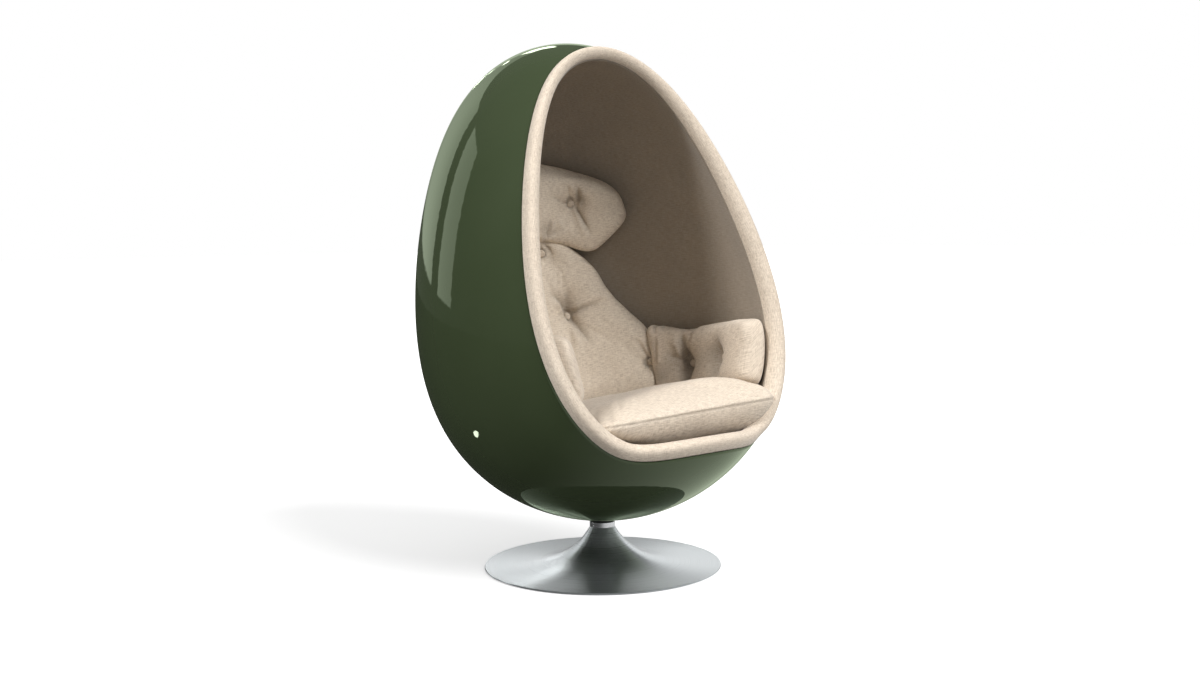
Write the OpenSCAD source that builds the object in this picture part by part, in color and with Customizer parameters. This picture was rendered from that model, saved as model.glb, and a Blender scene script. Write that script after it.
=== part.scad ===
// Pod chair: an egg-shaped moulded shell, cut open at the front and upholstered inside,
// that swivels on a spun trumpet base. Millimetres, +Z up, the chair faces -Y,
// and the origin is on the floor below the swivel axis.

/* [Egg shell] */
// Largest radius of the egg across its long axis
egg_radius = 430; // [380:5:480]
// Half of the egg's length from pole to pole
egg_half_length = 571; // [520:5:630]
// Backward lean of the egg's long axis, degrees
egg_lean = 16.4; // [12:0.2:20]
// Where the swivel axis crosses the egg, measured back from the egg's centre
egg_setback = 31.5; // [20:0.5:45]
// Moulded wall of the shell
shell_wall = 6; // [4:0.5:9]
// How the egg swells below its middle and narrows above it, as curve shares
egg_swell_shares = [-0.215, 0.068, 0.111];

/* [Opening] */
// Corner of the opening's side outline, in front of the egg's centre
opening_corner_forward = 326.5; // [300:1:345]
// Corner of the opening's side outline, below the egg's centre
opening_corner_drop = 404.4; // [380:1:430]
// Backward lean of the opening's front, degrees
opening_lean = 16.9; // [13:0.2:21]
// Upward tilt of the lower lip, degrees
lip_tilt = 20; // [10:1:26]
// How far the opening's front bows back at mid height
opening_bow = 12; // [4:1:20]
// Size of the bend between the lip and the opening's front
lip_bend = 50; // [35:1:70]

/* [Lining and rim] */
// Foam of the lining
lining_foam_thickness = 24; // [18:1:30]
// Fabric of the lining
lining_fabric_thickness = 2.5; // [2:0.5:4]
// How far the padded rim bulges forward
rim_bulge = 31; // [22:0.5:34]
// How far the rim roll stands past the lining towards the sitter
rim_overhang = 4; // [2:0.5:7]

/* [Seat] */
// Height of the seat cushion's underside on the swivel axis
seat_height = 292; // [284:1:305]
// Backward slope of the deck under the seat, degrees
seat_slope = 6; // [4:0.5:9]
// Backward slope of the seat cushion's top, degrees
seat_top_slope = 11.5; // [8:0.5:13]
// How far the seat cushion reaches in front of the swivel axis
seat_front = 314; // [295:1:322]
// How far the seat cushion reaches behind the swivel axis
seat_back = 205; // [180:1:230]
// Height of the seat cushion's side band
seat_edge_height = 76; // [60:1:86]
// Extra height of the seat cushion's crown
seat_crown_height = 44; // [30:1:58]
// Half the width between the seat cushion's front corners, which lie over the rim
seat_corner = 300; // [285:1:305]
// How far the front corners draw in towards the seat cushion's underside
seat_corner_draw = 30; // [20:1:50]
// Plywood of the seat deck
deck_thickness = 15; // [12:1:21]
// Foam pad on the seat deck
deck_pad_thickness = 34; // [24:1:45]
// Width of a deck bearer
bearer_width = 18; // [15:1:27]
// Distance of each deck bearer from the middle
bearer_offset = 150; // [135:1:175]

/* [Back, head and arm cushions] */
// Fullness of the back cushion
back_depth = 88; // [65:1:100]
// Fullness of the head cushion
head_depth = 98; // [75:1:110]
// Fullness of the arm cushions
arm_depth = 84; // [65:1:95]
// Height of the arm cushions' top above the seat cushion's underside
arm_height = 262; // [240:1:280]
// Depth that a button draws into a cushion
tuft_depth = 30; // [18:1:38]
// Spread of a tuft round its button
tuft_spread = 34; // [26:1:44]
// Radius of a covered button
button_radius = 12; // [9:0.5:15]
// Height of a covered button
button_height = 7; // [5:0.5:9]

/* [Pedestal] */
// Radius of the trumpet base
base_radius = 281; // [250:1:310]
// Height of the trumpet's neck above the floor
neck_height = 95; // [88:1:110]
// Radius of the trumpet's neck
neck_radius = 29.5; // [28.5:0.5:33]
// Thickness of the trumpet's spun metal
base_wall = 2.5; // [2:0.25:3]
// Height of the trumpet's outer lip above the floor
lip_height = 5; // [4.6:0.1:7]
// Length over which the trumpet's flare dies away
flare_length = 53; // [46:1:60]
// Thickness of the felt under the base
felt_thickness = 2; // [1.5:0.1:2]
// Radius of the steel ballast plate
ballast_radius = 118; // [105:1:124]
// Thickness of the steel ballast plate
ballast_thickness = 10; // [8:1:11]
// Outer radius of the column tube
column_radius = 25; // [24:0.25:25.5]
// Wall of the column tube
column_wall = 6; // [5:0.25:6.5]
// Radius of the column's flange
flange_radius = 52; // [48:1:56]
// Thickness of the column's flange
flange_thickness = 8; // [6:1:10]
// Bolt circle radius of the flange screws
flange_screw_circle = 38; // [36:1:42]
// Number of flange screws
flange_screw_count = 6; // [4:1:8]

/* [Swivel] */
// Radius of the swivel spindle
spindle_radius = 15; // [13.5:0.25:15.5]
// Length of each plain bush
bush_length = 20; // [14:1:24]
// Radius of a bearing ball
ball_radius = 2; // [1.75:0.05:2.25]
// Number of bearing balls
ball_count = 20; // [14:1:22]
// Thickness of each bearing race
race_thickness = 2.5; // [2:0.25:3]
// Top plate of the bright neck collar
collar_top = 3; // [2.5:0.25:4]
// Thickness of the rubber seat between the collar and the shell
gasket_thickness = 9; // [7:0.5:12]
// Radius of the hub plate inside the shell
hub_radius = 88; // [80:1:100]
// Thickness of the hub plate
hub_thickness = 8; // [6:1:10]
// Least depth of the plywood mounting pad
pad_depth = 30; // [26:1:36]
// Bolt circle radius of the hub bolts
hub_bolt_circle = 62; // [56:1:68]
// Number of hub bolts
hub_bolt_count = 6; // [4:1:8]

/* [Fasteners] */
// Shank radius of the flange screws and hub bolts
bolt_radius = 4; // [3:0.25:4.5]
// Head radius of the flange screws and hub bolts
bolt_head_radius = 6.5; // [6:0.25:7.5]
// Head height of the flange screws and hub bolts
bolt_head_height = 8; // [5:0.5:9]
// Thickness of the washers
washer_thickness = 1.6; // [1.2:0.1:2.5]
// Washer overhang past a bolt head
washer_overhang = 2; // [1:0.25:3]
// Shank radius of the deck screws
deck_screw_radius = 2.5; // [2:0.25:3]
// Length of the deck screws
deck_screw_length = 32; // [25:1:38]

/* [Hidden] */
// Running clearance between pieces that turn against each other
turn_gap = 0.4;
// Radial clearance of the spindle in its bushes
bush_gap = 0.05;
// Radial clearance of pieces fitted into one another
fit_gap = 0.05;
// Clearance between upholstery layers, so that no two solids overlap
layer_gap = 0.6;
// Gap between a cushion and what it rests on
rest_gap = 0.3;
// Gap that parts neighbouring soft cushions
cushion_gap = 1.8;
// Overrun of a cut past the piece it cuts
overrun = 5;
// Depth of a socket or drilled hole past its screw
drill_spare = 3;
// Plain number of a full turn's facets for round pieces
$fn = 96;

deck_top = seat_height - deck_pad_thickness / cos(seat_slope) - layer_gap / 2 - rest_gap;
lining_depth = shell_wall + lining_foam_thickness + lining_fabric_thickness + 2 * layer_gap;
plate_bottom = felt_thickness;
plate_top = plate_bottom + ballast_thickness;
flange_top = plate_top + flange_thickness;
column_top = neck_height - base_wall - 0.2 * base_wall;
column_bore = column_radius - column_wall;
race_bottom = neck_height;
ball_height = race_bottom + race_thickness + turn_gap + ball_radius;
race_top_level = ball_height + ball_radius + turn_gap;
collar_level = race_top_level + race_thickness;
collar_height = collar_level + collar_top;
race_outer = column_radius - turn_gap;
race_inner = spindle_radius + 2 * turn_gap;
ball_circle = (race_outer + race_inner) / 2;
spindle_foot = plate_top + race_thickness * 3;
hub_level = collar_height + gasket_thickness + shell_wall + pad_depth;
nut_height = bolt_head_height * 2;
nut_radius = spindle_radius * 1.4;
spindle_top = hub_level + hub_thickness + nut_height;
spindle_neck_radius = spindle_radius * 0.8;

// The egg: t is the angle from the lower pole, 0 to 180 degrees

function swell(u) = exp(egg_swell_shares[0] * u + egg_swell_shares[1] * u * u
                        + egg_swell_shares[2] * u * u * u);
egg_norm = egg_radius / max([for (t = [60:1:120]) sin(t) * swell(-cos(t))]);

function egg_r(t) = egg_norm * sin(t) * swell(-cos(t));
function egg_v(t) = -egg_half_length * cos(t);

// Rate of change of the radius with t, for the wall's normal
function egg_dr(t) =
    let (u = -cos(t))
    egg_norm * swell(u) * (cos(t) + sin(t) * sin(t)
        * (egg_swell_shares[0] + 2 * egg_swell_shares[1] * u + 3 * egg_swell_shares[2] * u * u));

function egg_normal(t) =
    let (dv = egg_half_length * sin(t), dr = egg_dr(t))
    [dv, -dr] / norm([dv, dr]);

// Point of the egg's half outline, a depth inside the outer surface
function egg_point(t, depth) = [egg_r(t), egg_v(t)] - depth * egg_normal(t);

// Radius at a height v along the egg's axis, a depth inside the outer surface
function egg_angle(v) = acos(max(-1, min(1, -v / egg_half_length)));
function egg_inside(v, depth) =
    let (t = egg_angle(v))
    egg_r(t) - depth / max(egg_normal(t)[0], 0.05);

// Height of the egg's outer surface on the swivel axis, below its centre
function below(v_low, v_high, steps) =
    let (drop = (v_low + v_high) / 2,
         w = -egg_setback * cos(egg_lean) + drop * sin(egg_lean),
         v = -egg_setback * sin(egg_lean) - drop * cos(egg_lean))
    steps == 0 ? drop
    : abs(v) < egg_half_length && egg_r(egg_angle(v)) > abs(w) ? below(drop, v_high, steps - 1)
    : below(v_low, drop, steps - 1);
axis_drop = below(0, egg_half_length * 1.1, 40);
egg_height = collar_height + gasket_thickness + axis_drop;

// Frame of the egg to the floor's frame and back, in the side plane
function to_world(x, w, v) = [x,
    w * cos(egg_lean) + v * sin(egg_lean) + egg_setback,
    -w * sin(egg_lean) + v * cos(egg_lean) + egg_height];
function to_egg(y, z) = [
    (y - egg_setback) * cos(egg_lean) - (z - egg_height) * sin(egg_lean),
    (y - egg_setback) * sin(egg_lean) + (z - egg_height) * cos(egg_lean)];

// Point of the wall at a turn round the axis and an angle from the pole
function wall_point(turn, t, depth) =
    let (p = egg_point(t, depth))
    to_world(p[0] * cos(turn), p[0] * sin(turn), p[1]);

// Direction into the egg at the same place
function wall_inward(turn, t) =
    let (n = egg_normal(t))
    to_world(-n[0] * cos(turn), -n[0] * sin(turn), -n[1]) - to_world(0, 0, 0);

module egg_solid(depth)
    translate([0, egg_setback, egg_height])
        rotate([-egg_lean, 0, 0])
            rotate_extrude($fn = 120)
                polygon(concat(
                    [[0, egg_point(0, depth)[1]]],
                    [for (t = [5:5:175]) egg_point(t, depth)],
                    [[0, egg_point(180, depth)[1]]]));

module egg_layer(outer_depth, thickness)
    translate([0, egg_setback, egg_height])
        rotate([-egg_lean, 0, 0])
            rotate_extrude($fn = 120)
                polygon(concat(
                    [[0, egg_point(0, outer_depth)[1]]],
                    [for (t = [5:5:175]) egg_point(t, outer_depth)],
                    [[0, egg_point(180, outer_depth)[1]]],
                    [[0, egg_point(180, outer_depth + thickness)[1]]],
                    [for (t = [175:-5:5]) egg_point(t, outer_depth + thickness)],
                    [[0, egg_point(0, outer_depth + thickness)[1]]]));

// The opening: a side outline that comes forward over the lip and climbs along the front

opening_length = 2 * egg_half_length;
function blend_up(s) = (s + sqrt(s * s + lip_bend * lip_bend)) / 2;
function opening_point(s) =
    let (up = blend_up(s), forward = blend_up(-s), share = up / (0.8 * opening_length),
         bow = 4 * opening_bow * (share * share - share))
    [egg_setback - opening_corner_forward + up * sin(opening_lean) - forward * cos(lip_tilt)
         + bow * cos(opening_lean),
     egg_height - opening_corner_drop + up * cos(opening_lean) + forward * sin(lip_tilt)
         - bow * sin(opening_lean)];

// Half width squared of the egg where the outline is at s; it is zero at the opening's two ends
function half_width_sq(s) =
    let (p = opening_point(s), q = to_egg(p[0], p[1]),
         r = abs(q[1]) < egg_half_length ? egg_r(egg_angle(q[1])) : 0)
    r * r - q[0] * q[0];
function opening_end(inside, outside, steps) =
    let (middle = (inside + outside) / 2)
    steps == 0 ? inside
    : half_width_sq(middle) > 0 ? opening_end(middle, outside, steps - 1)
    : opening_end(inside, middle, steps - 1);
lip_end = opening_end(0, -egg_radius, 40);
crown_end = opening_end(egg_half_length, opening_length, 40);

// Everything in front of the opening
module opening_cut()
    translate([-2 * egg_radius, 0, 0])
        rotate([90, 0, 90])
            linear_extrude(4 * egg_radius)
                polygon(concat(
                    [for (s = [2 * lip_end, lip_end * 1.3, lip_end, lip_end * 0.75, lip_end * 0.5,
                               lip_end * 0.25, 0, -lip_end * 0.25, -lip_end * 0.5,
                               -lip_end * 0.75, -lip_end]) opening_point(s)],
                    [for (i = [1:10]) opening_point(-lip_end + (crown_end * 1.1 + lip_end) * i / 10)],
                    [[-4 * egg_radius, opening_point(crown_end * 1.1)[1]],
                     [-4 * egg_radius, opening_point(2 * lip_end)[1]]]));

// Place on the opening's surface, x across and s along, raised forward
function opening_forward(s) =
    let (a = opening_point(s - lip_bend / 20), b = opening_point(s + lip_bend / 20),
         d = (b - a) / norm(b - a))
    [0, -d[1], d[0]];
function opening_place(x, s, raise) =
    let (p = opening_point(s))
    [x, p[0], p[1]] + raise * opening_forward(s);

// The padded rim follows the opening's edge

rim_width = lining_depth + rim_overhang;
rim_stations = 72;
rim_back_gap = 2 * layer_gap;
function rim_s(angle) = (lip_end + crown_end) / 2 - (crown_end - lip_end) / 2 * cos(angle);
function rim_edge(angle) =
    let (a = angle % 360, s = rim_s(a), half = sqrt(max(half_width_sq(s), 0)))
    [a <= 180 ? half : -half, s];
function rim_along(angle) =
    let (a = rim_edge(angle - 2), b = rim_edge(angle + 2))
    opening_place(b[0], b[1], 0) - opening_place(a[0], a[1], 0);

// How far the wall's thickness stands up from the opening's surface; only the lip's does
function rim_stand(angle) =
    let (edge = rim_edge(angle), p = opening_point(edge[1]), q = to_egg(p[0], p[1]),
         t = egg_angle(q[1]), rise = wall_inward(atan2(q[0], edge[0]), t) * opening_forward(edge[1]),
         soft = (rise + sqrt(rise * rise + 0.02)) / 2)
    asin(min(1, soft));

// Rim section: share across the wall from the outside in, share of the bulge
rim_section_shares = [[-0.03, 0.3], [-0.03, 0.62], [0.05, 0.87], [0.2, 0.99], [0.4, 1],
                      [0.64, 0.9], [0.85, 0.64], [0.98, 0.28]];
rim_heel_shares = [0.96, 0.5, 0.02];
function rim_front(angle, shares) =
    let (edge = rim_edge(angle), forward = opening_forward(edge[1]), along = rim_along(angle),
         inward = cross(forward, along) / norm(along), stand = rim_stand(angle))
    opening_place(edge[0], edge[1], rim_back_gap)
        + shares[0] * rim_width * (inward * cos(stand) + forward * sin(stand))
        + shares[1] * rim_bulge * (forward * cos(stand) - inward * sin(stand));
function rim_heel(angle, across_share) =
    let (edge = rim_edge(angle), forward = opening_forward(edge[1]), along = rim_along(angle),
         inward = cross(forward, along) / norm(along), ds = lip_bend / 20,
         step = (opening_place(0, edge[1] + ds, 0) - opening_place(0, edge[1] - ds, 0)) / (2 * ds),
         across = across_share * rim_width)
    opening_place(edge[0] + across * inward[0], edge[1] + across * (inward * step) / (step * step),
                  rim_back_gap);

// A closed form from rings of points between two end points, or closed on itself

module ring_form(first, rings, last) {
    count = len(rings);
    size = len(rings[0]);
    end = 1 + count * size;
    polyhedron(
        points = concat([first], [for (ring = rings) for (p = ring) p], [last]),
        faces = concat(
            [for (j = [0:size - 1]) [0, 1 + j, 1 + (j + 1) % size]],
            [for (i = [0:count - 2]) for (j = [0:size - 1]) for (half = [0, 1])
                let (a = 1 + i * size + j, b = 1 + i * size + (j + 1) % size)
                half == 0 ? [a, a + size, b] : [b, a + size, b + size]],
            [for (j = [0:size - 1])
                let (a = end - size)
                [end, a + (j + 1) % size, a + j]]));
}

module loop_form(rings) {
    count = len(rings);
    size = len(rings[0]);
    polyhedron(
        points = [for (ring = rings) for (p = ring) p],
        faces = [for (i = [0:count - 1]) for (j = [0:size - 1]) for (half = [0, 1])
            let (k = (i + 1) % count,
                 a = i * size + j, b = i * size + (j + 1) % size,
                 c = k * size + j, d = k * size + (j + 1) % size)
            half == 0 ? [a, b, c] : [b, d, c]]);
}

// Cushions on the wall: s runs round the egg from the chair's left (-1 to 1), t runs up (-1 to 1)

lean_share = 0.155;
function level_angle(turn, level) =
    acos(max(-1, min(1, -(level + lean_share * (sin(turn) - 1)))));

// Level share where the wall meets a plane that slopes with the seat
function floor_z(y, base) = base - y * tan(seat_slope);
function seat_thick(y) = seat_edge_height + y * (tan(seat_slope) - tan(seat_top_slope));
function level_at(turn, base, slope, low, high, steps) =
    let (middle = (low + high) / 2,
         p = wall_point(turn, level_angle(turn, middle), lining_depth + cushion_gap))
    steps == 0 ? middle
    : p[2] > base - p[1] * tan(slope) ? level_at(turn, base, slope, low, middle, steps - 1)
    : level_at(turn, base, slope, middle, high, steps - 1);

rest_crown_share = 0.15;
function seat_rest(turn) =
    level_at(turn, seat_height + seat_edge_height + seat_crown_height * rest_crown_share,
             seat_top_slope, -0.9, 0.4, 24);
function arm_top(turn) =
    level_at(turn, seat_height + arm_height, (seat_slope + seat_top_slope) / 2, -0.9, 0.4, 24);

// Each cushion: kind, and its outline as turn and level for s and t
BACK = 0;
HEAD = 1;
ARM = 2;
crease_turn = 27;
arm_front_turn = -35;
back_top_turn = 43;
back_top_share = 0.3525;
head_bottom_share = 0.353;
head_top_share = 0.72;
head_end_turn = 23;
head_droop_share = 0.068;

// The head cushion's lower edge hangs lowest near its ends, and the back cushion's top follows it
droop_centre_share = 0.68;
droop_spread_share = 0.17;
function head_droop(turn) =
    let (d = (abs(turn - 90) / (90 - head_end_turn) - droop_centre_share) / droop_spread_share)
    head_droop_share * exp(-d * d);

function mix(a, b, share) = a + (b - a) * share;
function ease(share) = share * share * (3 - 2 * share);

function cushion_turn(kind, s, t) =
    kind == ARM ? mix((crease_turn + arm_front_turn) / 2, arm_front_turn, s)
    : kind == HEAD ? 90 - (90 - head_end_turn) * s
    : 90 - (90 - mix(crease_turn, back_top_turn, ease(max(0, (t + 0.1) / 1.1)))) * s;
function cushion_level(kind, turn, s, t) =
    let (share = (t + 1) / 2)
    kind == ARM ? mix(seat_rest(turn), arm_top(turn), share)
    : kind == HEAD ? mix(head_bottom_share - head_droop(turn), head_top_share, share)
    : mix(seat_rest(turn), back_top_share - head_droop(turn), share);
function cushion_full_depth(kind) =
    kind == ARM ? arm_depth : kind == HEAD ? head_depth : back_depth;

// Tufts of each cushion as [s, t, depth] shares
function tuft_shares(kind) =
    kind == ARM ? [[-0.45, -0.05, 0.95], [0.17, -0.02, 0.95]]
    : kind == HEAD ? [[0.6, 0.07, 1], [-0.6, 0.07, 1]]
    : [[0.47, 0.14, 0.8], [-0.47, 0.14, 0.8], [0.96, -0.5, 0.7], [-0.96, -0.5, 0.7],
       [0.3, 0.86, 0.5], [-0.3, 0.86, 0.5]];
function cushion_place(kind, s, t, depth) =
    let (turn = cushion_turn(kind, s, t))
    wall_point(turn, level_angle(turn, cushion_level(kind, turn, s, t)), depth);
function tuft_draw(kind, place) =
    max([for (tuft = tuft_shares(kind))
        let (d = norm(place - cushion_place(kind, tuft[0], tuft[1], lining_depth)) / tuft_spread)
        tuft[2] * tuft_depth * exp(-d * d)]);

// Superellipse of share x: 1 in the middle, 0 at the ends
function round_off(x, power) = pow(max(0, 1 - pow(abs(x), power)), 1 / power);
seam_share = 0.36;
function cushion_depth(kind, s, t, side) =
    let (full = cushion_full_depth(kind), seam = full * seam_share)
    side < 0 ? seam * (1 + side) : seam + (full - seam) * side;
function cushion_width(kind, s) = round_off(s, kind == HEAD ? 3.2 : 7);
function cushion_rise(kind, s, part) = round_off(part, kind == BACK ? 9 : 5) * round_off(s, 4);
function cushion_point(kind, s, angle) =
    let (t = cos(angle) * cushion_width(kind, s),
         rise = cushion_rise(kind, s, cos(angle)),
         side = (angle < 180 ? 1 : -1) * rise,
         flat = cushion_place(kind, s, t, lining_depth),
         raised = cushion_depth(kind, s, t, side)
                  - (angle < 180 ? rise * tuft_draw(kind, flat) : 0))
    cushion_place(kind, s, t, lining_depth + rest_gap + raised);

module wall_cushion(kind, stations, sides)
    ring_form(
        cushion_place(kind, -1, 0, lining_depth + rest_gap + cushion_depth(kind, -1, 0, 0)),
        [for (i = [1:stations - 1])
            [for (j = [0:sides - 1])
                cushion_point(kind, sin(-90 + 180 * i / stations), 360 * (j + 0.5) / sides)]],
        cushion_place(kind, 1, 0, lining_depth + rest_gap + cushion_depth(kind, 1, 0, 0)));

// Put children on a cushion's drawn-in surface, +Z out of the cushion
module on_tuft(kind, tuft) {
    turn = cushion_turn(kind, tuft[0], tuft[1]);
    angle = level_angle(turn, cushion_level(kind, turn, tuft[0], tuft[1]));
    rise = cushion_rise(kind, tuft[0], tuft[1] / cushion_width(kind, tuft[0]));
    place = wall_point(turn, angle, lining_depth + rest_gap - rise * tuft[2] * tuft_depth
                                    + cushion_depth(kind, tuft[0], tuft[1], rise));
    out = wall_inward(turn, angle);
    translate(place)
        rotate([0, acos(out[2]), atan2(out[1], out[0])])
            children();
}

module button_pockets(kind, tufts)
    for (tuft = tufts)
        on_tuft(kind, tuft)
            translate([0, 0, -button_height / 2 - layer_gap])
                cylinder(h = cushion_full_depth(kind), r = button_radius + layer_gap, $fn = 32);

module covered_button()
    translate([0, 0, -button_height / 2])
        rotate_extrude($fn = 48)
            polygon(concat(
                [[0, 0], [button_radius * 0.85, 0]],
                [for (a = [0:15:90])
                    [button_radius * cos(a) + (a == 90 ? -button_radius * cos(a) : 0),
                     button_height * (0.35 + 0.65 * sin(a))]]));

// The seat cushion lies on the deck pad and fills the shell from wall to wall

seat_middle = (seat_back - seat_front) / 2;
function seat_reach(angle, lift, low, high, steps) =
    let (middle = (low + high) / 2, x = middle * cos(angle), y = seat_middle + middle * sin(angle),
         q = to_egg(y, floor_z(y, seat_height) + lift * seat_thick(y)),
         r = abs(q[1]) < egg_half_length ? egg_inside(q[1], lining_depth) : 0)
    steps == 0 ? low
    : x * x + q[0] * q[0] < r * r ? seat_reach(angle, lift, middle, high, steps - 1)
    : seat_reach(angle, lift, low, middle, steps - 1);
corner_share = 0.48;
corner_blend_share = 0.2;
function seat_depth(angle) =
    (sin(angle) < 0 ? seat_front + seat_middle : seat_back - seat_middle) / max(abs(sin(angle)), 0.02);
function seat_edge(angle, lift) =
    let (low = 1 - lift,
         corner = seat_corner - seat_corner_draw * low * low,
         front = ease(max(0, min(1, (-sin(angle) - corner_share) / corner_blend_share))),
         reach = seat_reach(angle, lift, 0, 2 * egg_radius, 24) - cushion_gap,
         wall = mix(reach, min(reach, corner / max(abs(cos(angle)), 0.02)), front),
         power = 18)
    pow(pow(wall, -power) + pow(seat_depth(angle), -power), -1 / power);

// Share of the way out, and height in bands with its part of the crown
seat_ring_shares = [[0.35, 0, 0], [0.7, 0, 0], [0.9, 0.01, 0], [0.965, 0.09, 0], [0.99, 0.26, 0],
                    [1, 0.48, 0], [1, 0.7, 0.04], [0.985, 0.88, 0.12], [0.945, 0.98, 0.27],
                    [0.86, 1, 0.46], [0.72, 1, 0.67], [0.5, 1, 0.87], [0.25, 1, 0.97]];
function seat_point(angle, shares) =
    let (reach = seat_edge(angle, shares[1]) * shares[0], x = reach * cos(angle),
         y = seat_middle + reach * sin(angle))
    [x, y, floor_z(y, seat_height) + shares[1] * seat_thick(y) + shares[2] * seat_crown_height];

// Modules of the base

module floor_felt()
    color("dimgray")
        cylinder(h = felt_thickness - fit_gap, r = base_radius - lip_height, $fn = 120);

module flange_screw_places(radius, count)
    for (i = [0:count - 1])
        rotate([0, 0, 360 * i / count])
            translate([radius, 0, 0])
                children();

module ballast_plate()
    color("slategray")
        difference() {
            translate([0, 0, plate_bottom])
                cylinder(h = ballast_thickness, r = ballast_radius);
            translate([0, 0, -overrun])
                cylinder(h = plate_top + 2 * overrun, r = column_bore);
            flange_screw_places(flange_screw_circle, flange_screw_count)
                translate([0, 0, plate_bottom + ballast_thickness * 0.15])
                    cylinder(h = ballast_thickness, r = bolt_radius + fit_gap, $fn = 32);
        }

module column_flange()
    color("slategray")
        difference() {
            translate([0, 0, plate_top])
                cylinder(h = flange_thickness, r = flange_radius);
            translate([0, 0, plate_top - overrun])
                cylinder(h = flange_thickness + 2 * overrun, r = column_radius + fit_gap);
            flange_screw_places(flange_screw_circle, flange_screw_count)
                translate([0, 0, plate_top - overrun])
                    cylinder(h = flange_thickness + 2 * overrun, r = bolt_radius + fit_gap, $fn = 32);
        }

module column_tube()
    color("gray")
        difference() {
            translate([0, 0, plate_top])
                cylinder(h = column_top - plate_top, r = column_radius);
            translate([0, 0, plate_top - overrun])
                cylinder(h = column_top + overrun, r = column_bore);
        }

module column_weld()
    color("darkgray")
        rotate_extrude()
            polygon([[column_radius + fit_gap, flange_top + fit_gap],
                     [column_radius + flange_thickness * 0.6, flange_top + fit_gap],
                     [column_radius + flange_thickness * 0.25, flange_top + flange_thickness * 0.25],
                     [column_radius + fit_gap, flange_top + flange_thickness * 0.6]]);

module socket_screw(length)
    difference() {
        union() {
            cylinder(h = bolt_head_height, r = bolt_head_radius, $fn = 32);
            translate([0, 0, -length])
                cylinder(h = length, r = bolt_radius, $fn = 32);
        }
        translate([0, 0, bolt_head_height * 0.4])
            cylinder(h = bolt_head_height, r = bolt_radius * 0.8, $fn = 6);
    }

module flange_screws()
    color("silver")
        flange_screw_places(flange_screw_circle, flange_screw_count)
            translate([0, 0, flange_top + fit_gap])
                socket_screw(flange_thickness + ballast_thickness * 0.6);

trumpet_steps = 26;
function trumpet_r(i) = neck_radius + (base_radius - neck_radius) * pow(i / trumpet_steps, 1.7);
function trumpet_z(r) = lip_height + (neck_height - lip_height) * exp(-(r - neck_radius) / flare_length);
function trumpet_under(r) =
    let (slope = (neck_height - lip_height) / flare_length * exp(-(r - neck_radius) / flare_length),
         n = [slope, 1] / norm([slope, 1]))
    [r, trumpet_z(r)] - base_wall * n;
trumpet_foot = felt_thickness + fit_gap;

module base_trumpet()
    color("lightsteelblue")
        rotate_extrude($fn = 120)
            polygon(concat(
                [[column_bore, neck_height - base_wall], [column_bore, neck_height]],
                [for (i = [0:trumpet_steps]) [trumpet_r(i), trumpet_z(trumpet_r(i))]],
                [[base_radius + lip_height * 0.2, lip_height * 0.8],
                 [base_radius + lip_height * 0.2, trumpet_foot + lip_height * 0.1],
                 [base_radius, trumpet_foot],
                 [base_radius - lip_height * 2, trumpet_foot]],
                [for (i = [trumpet_steps - 2:-1:0])
                    let (p = trumpet_under(trumpet_r(i)))
                    if (p[1] < neck_height - 1.3 * base_wall && p[0] < base_radius - lip_height * 2
                        && p[1] > trumpet_foot) p],
                [[neck_radius - base_wall, neck_height - base_wall]]));

module bush(bottom)
    color("peru")
        difference() {
            translate([0, 0, bottom])
                cylinder(h = bush_length, r = column_bore - fit_gap);
            translate([0, 0, bottom - overrun])
                cylinder(h = bush_length + 2 * overrun, r = spindle_radius + bush_gap);
        }

lower_bush_level = spindle_foot + race_thickness * 4;
upper_bush_level = column_top - bush_length - turn_gap;

module lower_bush()
    bush(lower_bush_level);

module upper_bush()
    bush(upper_bush_level);

module race(bottom)
    color("silver")
        difference() {
            translate([0, 0, bottom])
                cylinder(h = race_thickness, r = race_outer);
            translate([0, 0, bottom - overrun])
                cylinder(h = race_thickness + 2 * overrun, r = race_inner);
        }

module lower_race()
    race(race_bottom + fit_gap);

// The bearing's cage and balls

module ball_places()
    flange_screw_places(ball_circle, ball_count)
        translate([0, 0, ball_height])
            children();

module ball_cage()
    color("goldenrod")
        difference() {
            translate([0, 0, ball_height - ball_radius / 2])
                cylinder(h = ball_radius, r = race_outer - turn_gap);
            translate([0, 0, ball_height - ball_radius - overrun])
                cylinder(h = 2 * ball_radius + 2 * overrun, r = race_inner + turn_gap);
            ball_places()
                translate([0, 0, -ball_radius])
                    cylinder(h = 2 * ball_radius, r = ball_radius + fit_gap, $fn = 24);
        }

module bearing_balls()
    color("silver")
        ball_places()
            sphere(r = ball_radius, $fn = 24);

// Modules of the swivelling hub

module upper_race()
    race(race_top_level - fit_gap);

module neck_collar()
    color("gainsboro")
        rotate_extrude()
            polygon([[spindle_radius + fit_gap, collar_level],
                     [race_outer + turn_gap, collar_level],
                     [race_outer + turn_gap, neck_height + turn_gap],
                     [neck_radius + turn_gap, neck_height + turn_gap],
                     [neck_radius + turn_gap * 2, neck_height + turn_gap * 2],
                     [neck_radius + turn_gap * 2, collar_height - turn_gap * 2],
                     [neck_radius, collar_height],
                     [spindle_radius + fit_gap, collar_height]]);

module spindle()
    color("silver")
        difference() {
            union() {
                translate([0, 0, spindle_foot])
                    cylinder(h = hub_level - spindle_foot, r = spindle_radius);
                translate([0, 0, hub_level])
                    cylinder(h = spindle_top - hub_level + race_thickness, r = spindle_neck_radius);
            }
            translate([0, 0, spindle_foot + race_thickness])
                rotate_extrude()
                    translate([spindle_radius - race_thickness / 2, 0])
                        square([race_thickness, race_thickness]);
        }

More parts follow.
